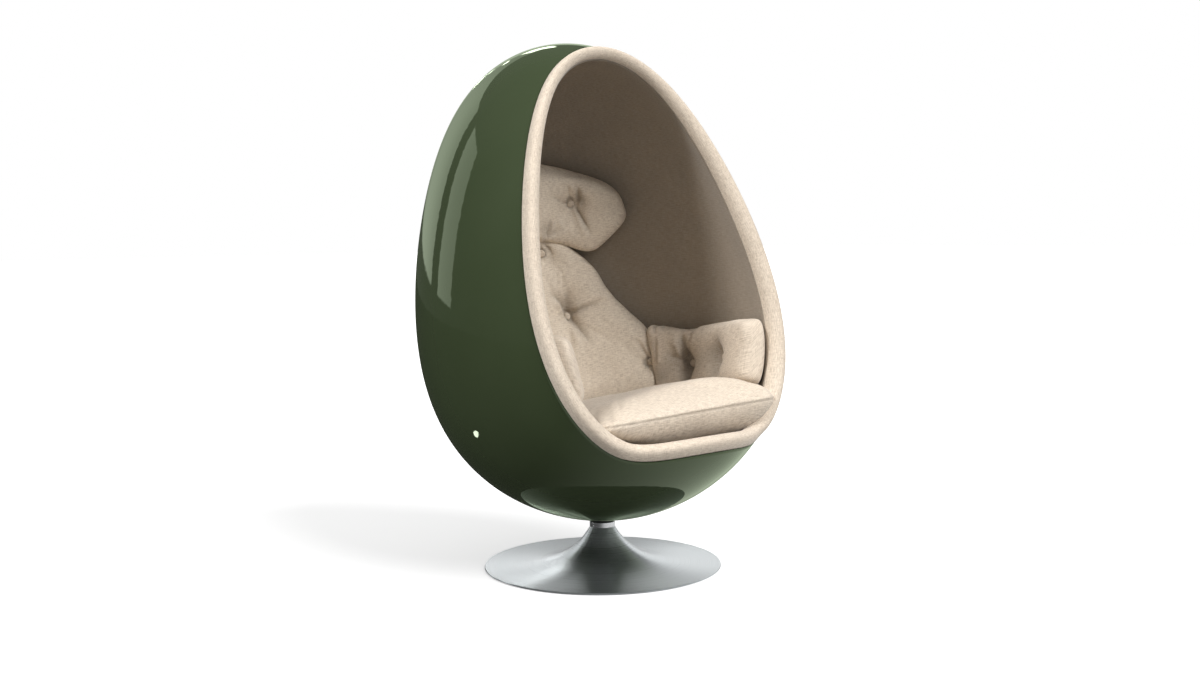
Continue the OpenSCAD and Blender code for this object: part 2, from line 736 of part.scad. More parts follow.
module retaining_ring()
    color("dimgray")
        translate([0, 0, spindle_foot + race_thickness + fit_gap])
            difference() {
                cylinder(h = race_thickness - 2 * fit_gap, r = spindle_radius + race_thickness * 0.7);
                translate([0, 0, -overrun])
                    cylinder(h = race_thickness + 2 * overrun,
                             r = spindle_radius - race_thickness / 2 + fit_gap);
                translate([0, -race_thickness, -overrun])
                    cube([2 * spindle_radius, 2 * race_thickness, race_thickness + 2 * overrun]);
            }

module retaining_washer()
    color("silver")
        translate([0, 0, spindle_foot + 2 * race_thickness + fit_gap])
            difference() {
                cylinder(h = 2 * race_thickness - turn_gap - 2 * fit_gap,
                         r = column_bore - 2 * turn_gap);
                translate([0, 0, -overrun])
                    cylinder(h = 2 * race_thickness + 2 * overrun, r = spindle_radius + fit_gap);
            }

module seat_gasket()
    color("black")
        difference() {
            translate([0, 0, collar_height])
                cylinder(h = 3 * gasket_thickness, r = neck_radius - turn_gap * 4);
            translate([0, 0, collar_height - overrun])
                cylinder(h = 4 * gasket_thickness, r = spindle_radius + fit_gap);
            egg_solid(-fit_gap);
        }

module outer_shell()
    color("darkolivegreen")
        difference() {
            egg_layer(0, shell_wall);
            opening_cut();
            translate([0, 0, collar_height])
                cylinder(h = hub_level - collar_height, r = spindle_radius + fit_gap);
        }

module hub_bolt_places()
    flange_screw_places(hub_bolt_circle, hub_bolt_count)
        translate([0, 0, hub_level + hub_thickness])
            children();

module mounting_pad()
    color("burlywood")
        difference() {
            intersection() {
                egg_solid(shell_wall + fit_gap);
                translate([0, 0, collar_height])
                    cylinder(h = hub_level - collar_height, r = hub_radius + 2 * bolt_head_radius);
            }
            translate([0, 0, collar_height])
                cylinder(h = hub_level - collar_height + overrun, r = spindle_radius + fit_gap);
            hub_bolt_places()
                translate([0, 0, -hub_thickness - pad_depth * 0.6])
                    cylinder(h = pad_depth, r = bolt_radius + fit_gap, $fn = 32);
        }

module hub_plate()
    color("slategray")
        difference() {
            translate([0, 0, hub_level])
                cylinder(h = hub_thickness, r = hub_radius);
            translate([0, 0, hub_level - overrun])
                cylinder(h = hub_thickness + 2 * overrun, r = spindle_neck_radius + fit_gap);
            hub_bolt_places()
                translate([0, 0, -hub_thickness - overrun])
                    cylinder(h = hub_thickness + 2 * overrun, r = bolt_radius + fit_gap, $fn = 32);
        }

module hub_washers()
    color("silver")
        hub_bolt_places()
            difference() {
                translate([0, 0, fit_gap])
                    cylinder(h = washer_thickness, r = bolt_head_radius + washer_overhang, $fn = 48);
                translate([0, 0, -overrun])
                    cylinder(h = washer_thickness + 2 * overrun, r = bolt_radius + fit_gap, $fn = 32);
            }

module hub_bolts()
    color("silver")
        hub_bolt_places()
            translate([0, 0, washer_thickness + 2 * fit_gap])
                socket_screw(washer_thickness + hub_thickness + pad_depth / 2);

module hub_nut()
    color("silver")
        difference() {
            translate([0, 0, hub_level + hub_thickness + fit_gap])
                cylinder(h = nut_height, r = nut_radius, $fn = 6);
            translate([0, 0, hub_level])
                cylinder(h = nut_height * 3, r = spindle_neck_radius + fit_gap);
        }

// Modules of the seat's carcass

// A slab parallel to the seat, between two heights on the swivel axis
module seat_slab(bottom, thickness)
    translate([0, 0, bottom])
        rotate([-seat_slope, 0, 0])
            translate([-2 * egg_radius, -2 * egg_radius, 0])
                cube([4 * egg_radius, 4 * egg_radius, thickness]);

// All that lies under a plane parallel to the seat
module seat_under(level)
    seat_slab(level - 2 * egg_half_length / cos(seat_slope), 2 * egg_half_length);

deck_bottom = deck_top - deck_thickness / cos(seat_slope);
bearer_screw_ys = [-0.28 * egg_radius, 0, 0.28 * egg_radius];

module deck_screw_places()
    for (side = [-1, 1])
        for (y = bearer_screw_ys)
            translate([0, 0, deck_top - fit_gap])
                rotate([-seat_slope, 0, 0])
                    translate([side * bearer_offset, y, 0])
                        children();

module deck_screw_form(extra)
    rotate_extrude($fn = 32)
        polygon([[0, 0], [deck_screw_radius * 2 + extra, 0],
                 [deck_screw_radius + extra, -deck_screw_radius],
                 [deck_screw_radius + extra, -deck_screw_length - extra],
                 [0, -deck_screw_length - extra - deck_screw_radius]]);

module deck_screws()
    color("silver")
        deck_screw_places()
            deck_screw_form(0);

module seat_deck()
    color("burlywood")
        difference() {
            intersection() {
                egg_solid(shell_wall + layer_gap);
                seat_slab(deck_bottom, deck_thickness);
            }
            opening_cut();
            deck_screw_places()
                deck_screw_form(fit_gap);
        }

module deck_bearers()
    color("tan")
        difference() {
            intersection() {
                egg_solid(shell_wall + layer_gap);
                for (side = [-1, 1])
                    translate([side * bearer_offset - bearer_width / 2, -egg_radius * 0.62, 0])
                        cube([bearer_width, egg_radius * 1.24, egg_height]);
                seat_under(deck_bottom - fit_gap);
            }
            deck_screw_places()
                deck_screw_form(fit_gap);
        }

module deck_pad()
    color("wheat")
        difference() {
            intersection() {
                egg_solid(lining_depth + layer_gap);
                seat_slab(deck_top + layer_gap / 2, deck_pad_thickness);
            }
            opening_cut();
        }

module lining_foam()
    color("khaki")
        difference() {
            egg_layer(shell_wall + layer_gap / 2, lining_foam_thickness);
            opening_cut();
            seat_under(deck_top + layer_gap / 2);
        }

module lining_fabric()
    color("tan")
        difference() {
            egg_layer(shell_wall + layer_gap + lining_foam_thickness, lining_fabric_thickness);
            opening_cut();
            seat_under(deck_top + layer_gap / 2);
        }

module rim_roll()
    color("antiquewhite")
        loop_form([for (i = [0:rim_stations - 1])
            let (angle = 360 * (i + 0.5) / rim_stations)
            concat([for (shares = rim_section_shares) rim_front(angle, shares)],
                   [for (share = rim_heel_shares) rim_heel(angle, share)])]);

// Modules of the cushions and their buttons

module seat_cushion()
    color("linen")
        ring_form(
            [0, seat_middle, floor_z(seat_middle, seat_height)],
            [for (shares = seat_ring_shares)
                [for (j = [0:71]) seat_point(5 * j, shares)]],
            [0, seat_middle,
             floor_z(seat_middle, seat_height) + seat_thick(seat_middle) + seat_crown_height]);

module back_cushion()
    color("bisque")
        difference() {
            wall_cushion(BACK, 26, 32);
            button_pockets(BACK, tuft_shares(BACK));
        }

module head_cushion()
    color("bisque")
        difference() {
            wall_cushion(HEAD, 22, 26);
            button_pockets(HEAD, tuft_shares(HEAD));
        }

module left_arm_cushion()
    color("bisque")
        difference() {
            wall_cushion(ARM, 18, 24);
            button_pockets(ARM, tuft_shares(ARM));
        }

module right_arm_cushion()
    color("bisque")
        mirror([1, 0, 0])
            difference() {
                wall_cushion(ARM, 18, 24);
                button_pockets(ARM, tuft_shares(ARM));
            }

module back_buttons()
    color("tan")
        for (tuft = tuft_shares(BACK))
            on_tuft(BACK, tuft)
                covered_button();

module head_buttons()
    color("tan")
        for (tuft = tuft_shares(HEAD))
            on_tuft(HEAD, tuft)
                covered_button();

module arm_buttons()
    color("tan")
        for (side = [0, 1])
            mirror([side, 0, 0])
                for (tuft = tuft_shares(ARM))
                    on_tuft(ARM, tuft)
                        covered_button();

floor_felt();
ballast_plate();
column_flange();
column_tube();
column_weld();
flange_screws();
base_trumpet();
lower_bush();
upper_bush();
lower_race();
ball_cage();
bearing_balls();
upper_race();
neck_collar();
spindle();
retaining_ring();
retaining_washer();
seat_gasket();
outer_shell();
mounting_pad();
hub_plate();
hub_washers();
hub_bolts();
hub_nut();
deck_bearers();
seat_deck();
deck_screws();
deck_pad();
lining_foam();
lining_fabric();
rim_roll();
seat_cushion();
back_cushion();
head_cushion();
left_arm_cushion();
right_arm_cushion();
back_buttons();
head_buttons();
arm_buttons();
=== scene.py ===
import math
import bmesh
import bpy
import numpy as np
from mathutils import Matrix


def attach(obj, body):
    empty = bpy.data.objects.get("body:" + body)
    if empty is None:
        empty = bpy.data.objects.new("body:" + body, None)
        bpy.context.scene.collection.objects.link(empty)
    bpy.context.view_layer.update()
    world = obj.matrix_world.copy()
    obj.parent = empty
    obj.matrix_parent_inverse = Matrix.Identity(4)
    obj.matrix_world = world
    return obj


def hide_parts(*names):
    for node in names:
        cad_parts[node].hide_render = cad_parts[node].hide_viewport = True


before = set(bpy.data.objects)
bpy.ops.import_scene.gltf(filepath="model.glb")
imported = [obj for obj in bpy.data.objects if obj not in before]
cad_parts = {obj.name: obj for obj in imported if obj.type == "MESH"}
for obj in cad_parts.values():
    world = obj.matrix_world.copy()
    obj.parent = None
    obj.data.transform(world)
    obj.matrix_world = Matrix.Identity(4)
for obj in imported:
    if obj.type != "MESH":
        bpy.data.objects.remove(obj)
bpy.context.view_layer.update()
print("frame loaded")

scene = bpy.context.scene
scene.view_settings.view_transform = "Standard"
scene.view_settings.look = "None"

# Camera: its turn round the chair, its distance and height, then how it is pitched, yawed and rolled
cameraView = {"turnDeg": -41.7223, "distance": 3.26495, "height": 0.8046, "pitchDeg": 4.4852,
              "yawDeg": -0.0052, "rollDeg": -0.6932, "focalPixels": 1385.02, "imageWidth": 1200,
              "sensorWidth": 36.0, "clipEnd": 200}


def axesMatrix(side, up, back, place):
    m = Matrix.Identity(4)
    for column, way in enumerate((side, up, back, place)):
        for row in range(3):
            m[row][column] = way[row]
    return m


def placeCamera(view):
    turn, pitch, yaw, roll = (math.radians(view[k]) for k in ("turnDeg", "pitchDeg", "yawDeg", "rollDeg"))
    ahead = np.array([-math.sin(turn), math.cos(turn), 0.0])
    side = np.array([math.cos(turn), math.sin(turn), 0.0])
    facing = math.cos(yaw) * ahead + math.sin(yaw) * side
    right = -math.sin(yaw) * ahead + math.cos(yaw) * side
    look = math.cos(pitch) * facing - math.sin(pitch) * np.array([0, 0, 1.0])
    up = np.cross(right, look)
    rolledRight = math.cos(roll) * right + math.sin(roll) * up
    rolledUp = -math.sin(roll) * right + math.cos(roll) * up
    place = (math.sin(turn) * view["distance"], -math.cos(turn) * view["distance"], view["height"])
    data = bpy.data.cameras.new("studioCamera")
    data.sensor_width = view["sensorWidth"]
    data.lens = view["focalPixels"] / view["imageWidth"] * view["sensorWidth"]
    data.clip_end = view["clipEnd"]
    camera = bpy.data.objects.new("studioCamera", data)
    scene.collection.objects.link(camera)
    camera.matrix_world = axesMatrix(rolledRight, rolledUp, -look, place)
    scene.camera = camera


placeCamera(cameraView)
print("camera placed")


# Mesh helpers
def linkMesh(name, mesh):
    mesh.name = name
    obj = bpy.data.objects.new(name, mesh)
    scene.collection.objects.link(obj)
    return obj


def shadeSmooth(mesh):
    mesh.polygons.foreach_set("use_smooth", [True] * len(mesh.polygons))


def setClothMap(obj, uvs):
    mesh = obj.data
    layer = mesh.uv_layers.get("clothMap")
    if layer is None:
        layer = mesh.uv_layers.new(name="clothMap")
    loopVertex = np.empty(len(mesh.loops), dtype=np.int32)
    mesh.loops.foreach_get("vertex_index", loopVertex)
    layer.data.foreach_set("uv", np.asarray(uvs, dtype=np.float32)[loopVertex].ravel())
    shadeSmooth(mesh)


def meshObject(name, points, faces, uvs=None):
    mesh = bpy.data.meshes.new(name)
    mesh.from_pydata([tuple(map(float, p)) for p in points], [], faces)
    mesh.update()
    shadeSmooth(mesh)
    obj = linkMesh(name, mesh)
    if uvs is not None:
        setClothMap(obj, uvs)
    return obj


def readVectors(items, key):
    flat = np.empty(len(items) * 3, dtype=np.float32)
    items.foreach_get(key, flat)
    return flat.reshape(-1, 3).astype(float)


def meshPoints(mesh):
    return readVectors(mesh.vertices, "co")


def meshNormals(mesh):
    return readVectors(mesh.vertex_normals, "vector")


def setPoints(mesh, points):
    mesh.vertices.foreach_set("co", np.asarray(points, dtype=np.float32).ravel())
    mesh.update()


# The evaluated shape becomes the object's plain mesh, and its modifiers go
def bakeModifiers(obj):
    evaluated = obj.evaluated_get(bpy.context.evaluated_depsgraph_get())
    mesh = bpy.data.meshes.new_from_object(evaluated)
    old = obj.data
    obj.modifiers.clear()
    obj.data = mesh
    bpy.data.meshes.remove(old)


# Quads of a grid whose rows are closed rings
def ringFaces(rows, cols, start=0, closedRows=False, flip=False):
    faces = []
    for i in range(rows if closedRows else rows - 1):
        k = (i + 1) % rows
        for j in range(cols):
            m = (j + 1) % cols
            quad = (start + i * cols + j, start + k * cols + j, start + k * cols + m, start + i * cols + m)
            faces.append(quad[::-1] if flip else quad)
    return faces


# Triangles from a grid's first and last rings to a point at each end, which follow the grid's points
def capFaces(rows, cols):
    last, count = (rows - 1) * cols, rows * cols
    faces = []
    for j in range(cols):
        k = (j + 1) % cols
        faces.append((k, j, count))
        faces.append((last + j, last + k, count + 1))
    return faces


# Faces of a closed mesh are turned to point outwards
def outwards(obj):
    bm = bmesh.new()
    bm.from_mesh(obj.data)
    bmesh.ops.recalc_face_normals(bm, faces=bm.faces)
    if bm.calc_volume(signed=True) < 0:
        bmesh.ops.reverse_faces(bm, faces=bm.faces)
    bm.to_mesh(obj.data)
    bm.free()
    return obj


def ease(x):
    x = np.clip(x, 0, 1)
    return x * x * (3 - 2 * x)


# Halves the span from low to high, keeping the upper half wherever isLow holds in the middle
def bisect(low, high, isLow, rounds=26):
    for _ in range(rounds):
        middle = (low + high) / 2
        below = isLow(middle)
        low = np.where(below, middle, low)
        high = np.where(below, high, middle)
    return low, high


# Egg of revolution that leans back, and the opening's outline: a long line above that bends into a lip.
# A place on the egg is its turn round the axis and its angle t from the lower pole; w and v are its
# distances behind the middle and up the axis.
egg = {"radius": 0.430, "halfLength": 0.571, "leanDeg": 16.4, "setback": 0.0315,
       "swell": (-0.215, 0.068, 0.111), "foot": 0.1168}
opening = {"cornerForward": 0.3265, "cornerDrop": 0.4044, "leanDeg": 16.9, "lipDeg": 20.0,
           "bow": 0.012, "bowSpan": 0.8, "bend": 0.050}
lean = math.radians(egg["leanDeg"])


def swell(u):
    a, b, c = egg["swell"]
    return np.exp(a * u + b * u * u + c * u ** 3)


waist = np.radians(np.arange(60, 121))  # where the egg can be widest
eggNorm = egg["radius"] / (np.sin(waist) * swell(-np.cos(waist))).max()


# Radius and height at an angle, a depth under the skin, and the skin's outward direction there
def eggProfile(t, depth):
    a, b, c = egg["swell"]
    u = -np.cos(t)
    r = eggNorm * np.sin(t) * swell(u)
    v = -egg["halfLength"] * np.cos(t)
    dv = egg["halfLength"] * np.sin(t)
    dr = eggNorm * swell(u) * (np.cos(t) + np.sin(t) ** 2 * (a + 2 * b * u + 3 * c * u * u))
    length = np.maximum(np.hypot(dv, dr), 1e-9)
    return r - depth * dv / length, v + depth * dr / length, dv / length, -dr / length


def eggAngle(v):
    return np.arccos(np.clip(-v / egg["halfLength"], -1, 1))


def toEgg(y, z, centre):
    return ((y - egg["setback"]) * math.cos(lean) - (z - centre) * math.sin(lean),
            (y - egg["setback"]) * math.sin(lean) + (z - centre) * math.cos(lean))


# How far the egg's lowest skin on the swivel axis lies under its middle
def axisDrop():
    def inside(drop):
        w, v = toEgg(0.0, -drop, 0.0)
        return abs(v) < egg["halfLength"] and eggProfile(eggAngle(v), 0)[0] > abs(w)
    return float(bisect(0.0, egg["halfLength"] * 1.1, inside, 50)[0])


eggHeight = egg["foot"] + axisDrop()


def tilted(x, w, v):
    c, s = math.cos(lean), math.sin(lean)
    return np.stack([x, w * c + v * s, -w * s + v * c], -1)


def wallPoint(turn, t, depth):
    r, v, _, _ = eggProfile(t, depth)
    return tilted(r * np.cos(turn), r * np.sin(turn), v) + np.array([0, egg["setback"], eggHeight])


def wallInward(turn, t):
    _, _, nr, nv = eggProfile(t, 0)
    return tilted(-nr * np.cos(turn), -nr * np.sin(turn), -nv)


openLean, openLip = math.radians(opening["leanDeg"]), math.radians(opening["lipDeg"])
upWay = (math.sin(openLean), math.cos(openLean))
lipWay = (-math.cos(openLip), math.sin(openLip))
cornerYZ = (egg["setback"] - opening["cornerForward"], eggHeight - opening["cornerDrop"])


def openingOutline(s):
    up = (s + np.sqrt(s * s + opening["bend"] ** 2)) / 2
    out = (-s + np.sqrt(s * s + opening["bend"] ** 2)) / 2
    share = up / (opening["bowSpan"] * 2 * egg["halfLength"])
    bow = 4 * opening["bow"] * (share * share - share)
    return (cornerYZ[0] + up * upWay[0] + out * lipWay[0] + bow * math.cos(openLean),
            cornerYZ[1] + up * upWay[1] + out * lipWay[1] - bow * math.sin(openLean))


outlineS = np.linspace(-0.6, 1.6, 4401)
outlineYZ = np.stack(openingOutline(outlineS), -1)
outlineStep = np.gradient(outlineYZ, axis=0)
outlineStep /= np.linalg.norm(outlineStep, axis=1)[:, None]
outlineFront = np.stack([-outlineStep[:, 1], outlineStep[:, 0]], -1)
outlineSearch = {"batch": 4000, "stride": 4}


# Distance in front of the opening's surface, and its forward direction at the nearest place
def inFront(points):
    batch, stride = outlineSearch["batch"], outlineSearch["stride"]
    flat = np.asarray(points).reshape(-1, 3)
    gap = np.empty(len(flat))
    ahead = np.zeros((len(flat), 3))
    for start in range(0, len(flat), batch):
        part = flat[start:start + batch, 1:]
        near = ((part[:, None, :] - outlineYZ[None, ::stride, :]) ** 2).sum(-1).argmin(1) * stride
        for _ in range(2):
            spot, way = outlineYZ[near], outlineStep[near]
            move = ((part - spot) * way).sum(1) / (outlineS[1] - outlineS[0])
            near = np.clip(near + np.round(move).astype(int), 0, len(outlineS) - 1)
        gap[start:start + batch] = ((part - outlineYZ[near]) * outlineFront[near]).sum(1)
        ahead[start:start + batch, 1:] = outlineFront[near]
    shape = np.asarray(points).shape[:-1]
    return gap.reshape(shape), ahead.reshape(shape + (3,))


# Directions on a ball stand for places on the egg; they fan out from the opening's middle
middleSpan = np.linspace(0.02, math.pi - 0.02, 800)
frontGap, _ = inFront(wallPoint(np.full_like(middleSpan, -math.pi / 2), middleSpan, 0))
openSpan = middleSpan[frontGap > 0]
middleT = (openSpan[0] + openSpan[-1]) / 2
middleWay = np.array([0.0, -math.sin(middleT), -math.cos(middleT)])
sideWay = np.array([1.0, 0.0, 0.0])
topWay = np.cross(sideWay, middleWay)


# Turn and angle on the egg for an angle round the opening and one away from its middle
def eggWay(around, fan):
    outWay = np.cos(around)[..., None] * sideWay + np.sin(around)[..., None] * topWay
    d = np.cos(fan)[..., None] * middleWay + np.sin(fan)[..., None] * outWay
    return np.arctan2(d[..., 1], d[..., 0]), np.arccos(np.clip(-d[..., 2], -1, 1))


def openingFan(around, depth):
    def isOpen(fan):
        turn, t = eggWay(around, fan)
        return inFront(wallPoint(turn, t, depth))[0] > 0
    low, high = bisect(np.full_like(around, 0.05), np.full_like(around, math.pi * 0.9), isOpen)
    return (low + high) / 2


# Rings of points from the opening's edge to the pole behind it
def eggPatch(around, depth, rings):
    start = openingFan(around, depth)
    share = np.linspace(0, 1, rings + 1)[:-1][:, None]
    fan = start[None, :] + (math.pi - start[None, :]) * share
    turn, t = eggWay(np.broadcast_to(around, fan.shape), fan)
    poleTurn, poleT = eggWay(np.array([0.0]), np.array([math.pi]))
    return wallPoint(turn, t, depth), wallPoint(poleTurn, poleT, depth)


eggMap = {"centre": 0.2, "radius": 0.35}  # the lining's weave is unrolled from a cylinder


def eggShell(name, sizes):
    around = np.linspace(0, 2 * math.pi, sizes["columns"], endpoint=False)
    cols, rings = sizes["columns"], sizes["rings"]
    outer, outerPole = eggPatch(around, sizes["start"], rings)
    inner, innerPole = eggPatch(around, sizes["depth"], rings)
    points = np.concatenate([outer.reshape(-1, 3), outerPole, inner.reshape(-1, 3), innerPole])
    count = rings * cols + 1
    faces = ringFaces(rings, cols) + ringFaces(rings, cols, count, flip=True)
    last = (rings - 1) * cols
    for j in range(cols):
        k = (j + 1) % cols
        faces.append((last + j, count - 1, last + k))
        faces.append((count + last + k, 2 * count - 1, count + last + j))
        faces.append((k, count + k, count + j, j))
    bearing = np.arctan2(points[:, 0], -(points[:, 1] - eggMap["centre"]))
    uvs = np.stack([bearing * eggMap["radius"], points[:, 2]], -1)
    return outwards(meshObject(name, points, faces, uvs))


# Materials
def material(name, inputs):
    mat = bpy.data.materials.new(name)
    mat.use_nodes = True
    tree = mat.node_tree
    bsdf = next(n for n in tree.nodes if n.type == "BSDF_PRINCIPLED")
    for key, value in inputs.items():
        bsdf.inputs[key].default_value = value
    return mat, tree, bsdf


def node(tree, kind, inputs=None, **settings):
    n = tree.nodes.new(kind)
    for key, value in settings.items():
        setattr(n, key, value)
    for key, value in (inputs or {}).items():
        if isinstance(value, bpy.types.NodeSocket):
            tree.links.new(value, n.inputs[key])
        else:
            n.inputs[key].default_value = value
    return n


def mathNode(tree, operation, *values):
    return node(tree, "ShaderNodeMath", dict(enumerate(values)), operation=operation).outputs[0]


def vectorNode(tree, operation, output, *values):
    return node(tree, "ShaderNodeVectorMath", dict(enumerate(values)), operation=operation).outputs[output]


def mixShaders(tree, share, first, second):
    return node(tree, "ShaderNodeMixShader", {0: share, 1: first.outputs[0], 2: second.outputs[0]})


def noise(tree, place, scale, detail, **inputs):
    inputs.update({"Vector": place, "Scale": scale, "Detail": detail})
    return node(tree, "ShaderNodeTexNoise", inputs).outputs[0]


def ramp(tree, factor, stops):
    n = node(tree, "ShaderNodeValToRGB", {0: factor})
    while len(n.color_ramp.elements) < len(stops):
        n.color_ramp.elements.new(0.5)
    for element, (place, colour) in zip(n.color_ramp.elements, stops):
        element.position = place
        element.color = (*colour, 1.0)
    return n.outputs[0]


def objectPlace(tree):
    return node(tree, "ShaderNodeTexCoord").outputs["Object"]


def outputNode(tree):
    return next(n for n in tree.nodes if n.type == "OUTPUT_MATERIAL")


# A coloured body under a clear coat whose reflections are tinted, with a little orange peel
def gelCoat():
    look = {"dark": (0.036, 0.050, 0.023), "light": (0.042, 0.057, 0.028), "cloudScale": 3.0,
            "peelScale": 55.0, "peelHeight": 0.01, "smearScale": 9.0, "gloss": (0.86, 1.0, 0.74),
            "glossMost": 0.42, "glossRough": (0.012, 0.028), "ior": 1.5}
    mat, tree, bsdf = material("greenGelCoat", {"Roughness": 0.5, "Specular IOR Level": 0.0})
    place = objectPlace(tree)
    cloud = noise(tree, place, look["cloudScale"], 4.0)
    tree.links.new(ramp(tree, cloud, [(0.3, look["dark"]), (0.7, look["light"])]), bsdf.inputs["Base Color"])
    peel = noise(tree, place, look["peelScale"], 1.0)
    bump = node(tree, "ShaderNodeBump", {"Height": peel, "Strength": look["peelHeight"], "Distance": 0.01})
    skin = bump.outputs[0]
    low, high = look["glossRough"]
    rough = node(tree, "ShaderNodeMapRange", {"Value": noise(tree, place, look["smearScale"], 6.0),
                                              "To Min": low, "To Max": high}).outputs[0]
    gloss = node(tree, "ShaderNodeBsdfGlossy", {"Color": (*look["gloss"], 1.0), "Roughness": rough,
                                                "Normal": skin})
    facing = node(tree, "ShaderNodeFresnel", {"IOR": look["ior"], "Normal": skin}).outputs[0]
    share = mathNode(tree, "MINIMUM", facing, look["glossMost"])
    coated = mixShaders(tree, share, bsdf, gloss)
    tree.links.new(coated.outputs[0], outputNode(tree).inputs[0])
    return mat


# threads: scale across and along the cloth map, and share of the grain
linenLook = {"threads": [(120.0, 950.0, 0.18), (950.0, 120.0, 0.12), (62.0, 600.0, 0.46),
                         (600.0, 62.0, 0.24)],
             "threadRough": 0.55, "grainShare": 0.88, "mottleScale": 220.0, "mottleShare": 0.45,
             "cloudScale": 12.0, "bumpHeight": 0.0009, "bumpStrength": 0.6, "paintedShadeStrength": 0.62,
             "paintedShadeDark": 0.25}


def linen(name, light, mid, dark, weight=1.0, spread=0.095):
    look = linenLook
    mat, tree, bsdf = material(name, {"Roughness": 0.92, "Sheen Weight": 0.2, "Sheen Roughness": 0.5,
                                      "Specular IOR Level": 0.2})
    clothMap = node(tree, "ShaderNodeUVMap", uv_map="clothMap").outputs[0]
    place = objectPlace(tree)
    grain = 0.0
    for across, along, share in look["threads"]:
        stretched = node(tree, "ShaderNodeMapping", {"Vector": clothMap, "Scale": (across, along, 1.0)})
        thread = noise(tree, stretched.outputs[0], 1.0, 1.0, Roughness=look["threadRough"])
        grain = mathNode(tree, "MULTIPLY_ADD", thread, share, grain)
    mottle = mathNode(tree, "MULTIPLY", noise(tree, place, look["mottleScale"], 2.0), look["mottleShare"])
    cloud = mathNode(tree, "MULTIPLY", noise(tree, place, look["cloudScale"], 2.0), 1 - look["mottleShare"])
    soft = mathNode(tree, "ADD", mottle, cloud)
    blend = mathNode(tree, "ADD", mathNode(tree, "MULTIPLY", grain, look["grainShare"]),
                     mathNode(tree, "MULTIPLY", soft, 1 - look["grainShare"]))
    colour = ramp(tree, blend, [(0.5 - spread, dark), (0.5, mid), (0.5 + spread, light)])
    # painted shade: the shade attribute mixes the colour towards a much darker copy of the dark tone, in
    # folds, hollows, round buttons, along the seat's seam and under its front
    fold = node(tree, "ShaderNodeAttribute", attribute_name="paintedShade").outputs["Fac"]
    shade = mathNode(tree, "MULTIPLY", fold, look["paintedShadeStrength"])
    paintedShadeColour = (*(c * look["paintedShadeDark"] for c in dark), 1.0)
    paintedShadeMix = node(tree, "ShaderNodeMixRGB", {0: shade, 1: colour, 2: paintedShadeColour}).outputs[0]
    tree.links.new(paintedShadeMix, bsdf.inputs["Base Color"])
    bump = node(tree, "ShaderNodeBump", {"Height": grain, "Strength": look["bumpStrength"] * weight,
                                         "Distance": look["bumpHeight"]})
    tree.links.new(bump.outputs[0], bsdf.inputs["Normal"])
    return mat


# Brush lines run round the axis; the neck is a little less metallic than the disc
def brushedMetal():
    look = {"dark": (0.47, 0.505, 0.515), "light": (0.67, 0.71, 0.725), "rings": 900.0,
            "rough": (0.24, 0.36), "neckRadius": 0.03, "discRadius": 0.065, "neckMetal": 0.68,
            "discMetal": 0.95}
    mat, tree, bsdf = material("brushedMetal", {"Metallic": 1.0, "Roughness": 0.3, "Anisotropic": 0.85,
                                                "Anisotropic Rotation": 0.25})
    flat = vectorNode(tree, "MULTIPLY", "Vector", objectPlace(tree), (1, 1, 0))
    radius = vectorNode(tree, "LENGTH", "Value", flat)
    lines = node(tree, "ShaderNodeTexNoise", {"W": radius, "Scale": look["rings"], "Detail": 3.0},
                 noise_dimensions="1D").outputs[0]
    tone = ramp(tree, lines, [(0.35, look["dark"]), (0.65, look["light"])])
    tree.links.new(tone, bsdf.inputs["Base Color"])
    low, high = look["rough"]
    rough = node(tree, "ShaderNodeMapRange", {"Value": lines, "To Min": low, "To Max": high})
    tree.links.new(rough.outputs[0], bsdf.inputs["Roughness"])
    worn = node(tree, "ShaderNodeMapRange", {"Value": radius, "From Min": look["neckRadius"],
                                             "From Max": look["discRadius"], "To Min": look["neckMetal"],
                                             "To Max": look["discMetal"]})
    tree.links.new(worn.outputs[0], bsdf.inputs["Metallic"])
    tangent = node(tree, "ShaderNodeTangent", direction_type="RADIAL", axis="Z")
    tree.links.new(tangent.outputs[0], bsdf.inputs["Tangent"])
    return mat


def plainFinish(name, colour, rough, metal=0.0, scale=60.0, spreadShare=0.15):
    mat, tree, bsdf = material(name, {"Metallic": metal, "Roughness": rough})
    grain = noise(tree, objectPlace(tree), scale, 5.0)
    low = tuple(c * (1 - spreadShare) for c in colour)
    high = tuple(min(1.0, c * (1 + spreadShare)) for c in colour)
    tree.links.new(ramp(tree, grain, [(0.3, low), (0.7, high)]), bsdf.inputs["Base Color"])
    bump = node(tree, "ShaderNodeBump", {"Height": grain, "Strength": 0.1, "Distance": 0.001})
    tree.links.new(bump.outputs[0], bsdf.inputs["Normal"])
    return mat


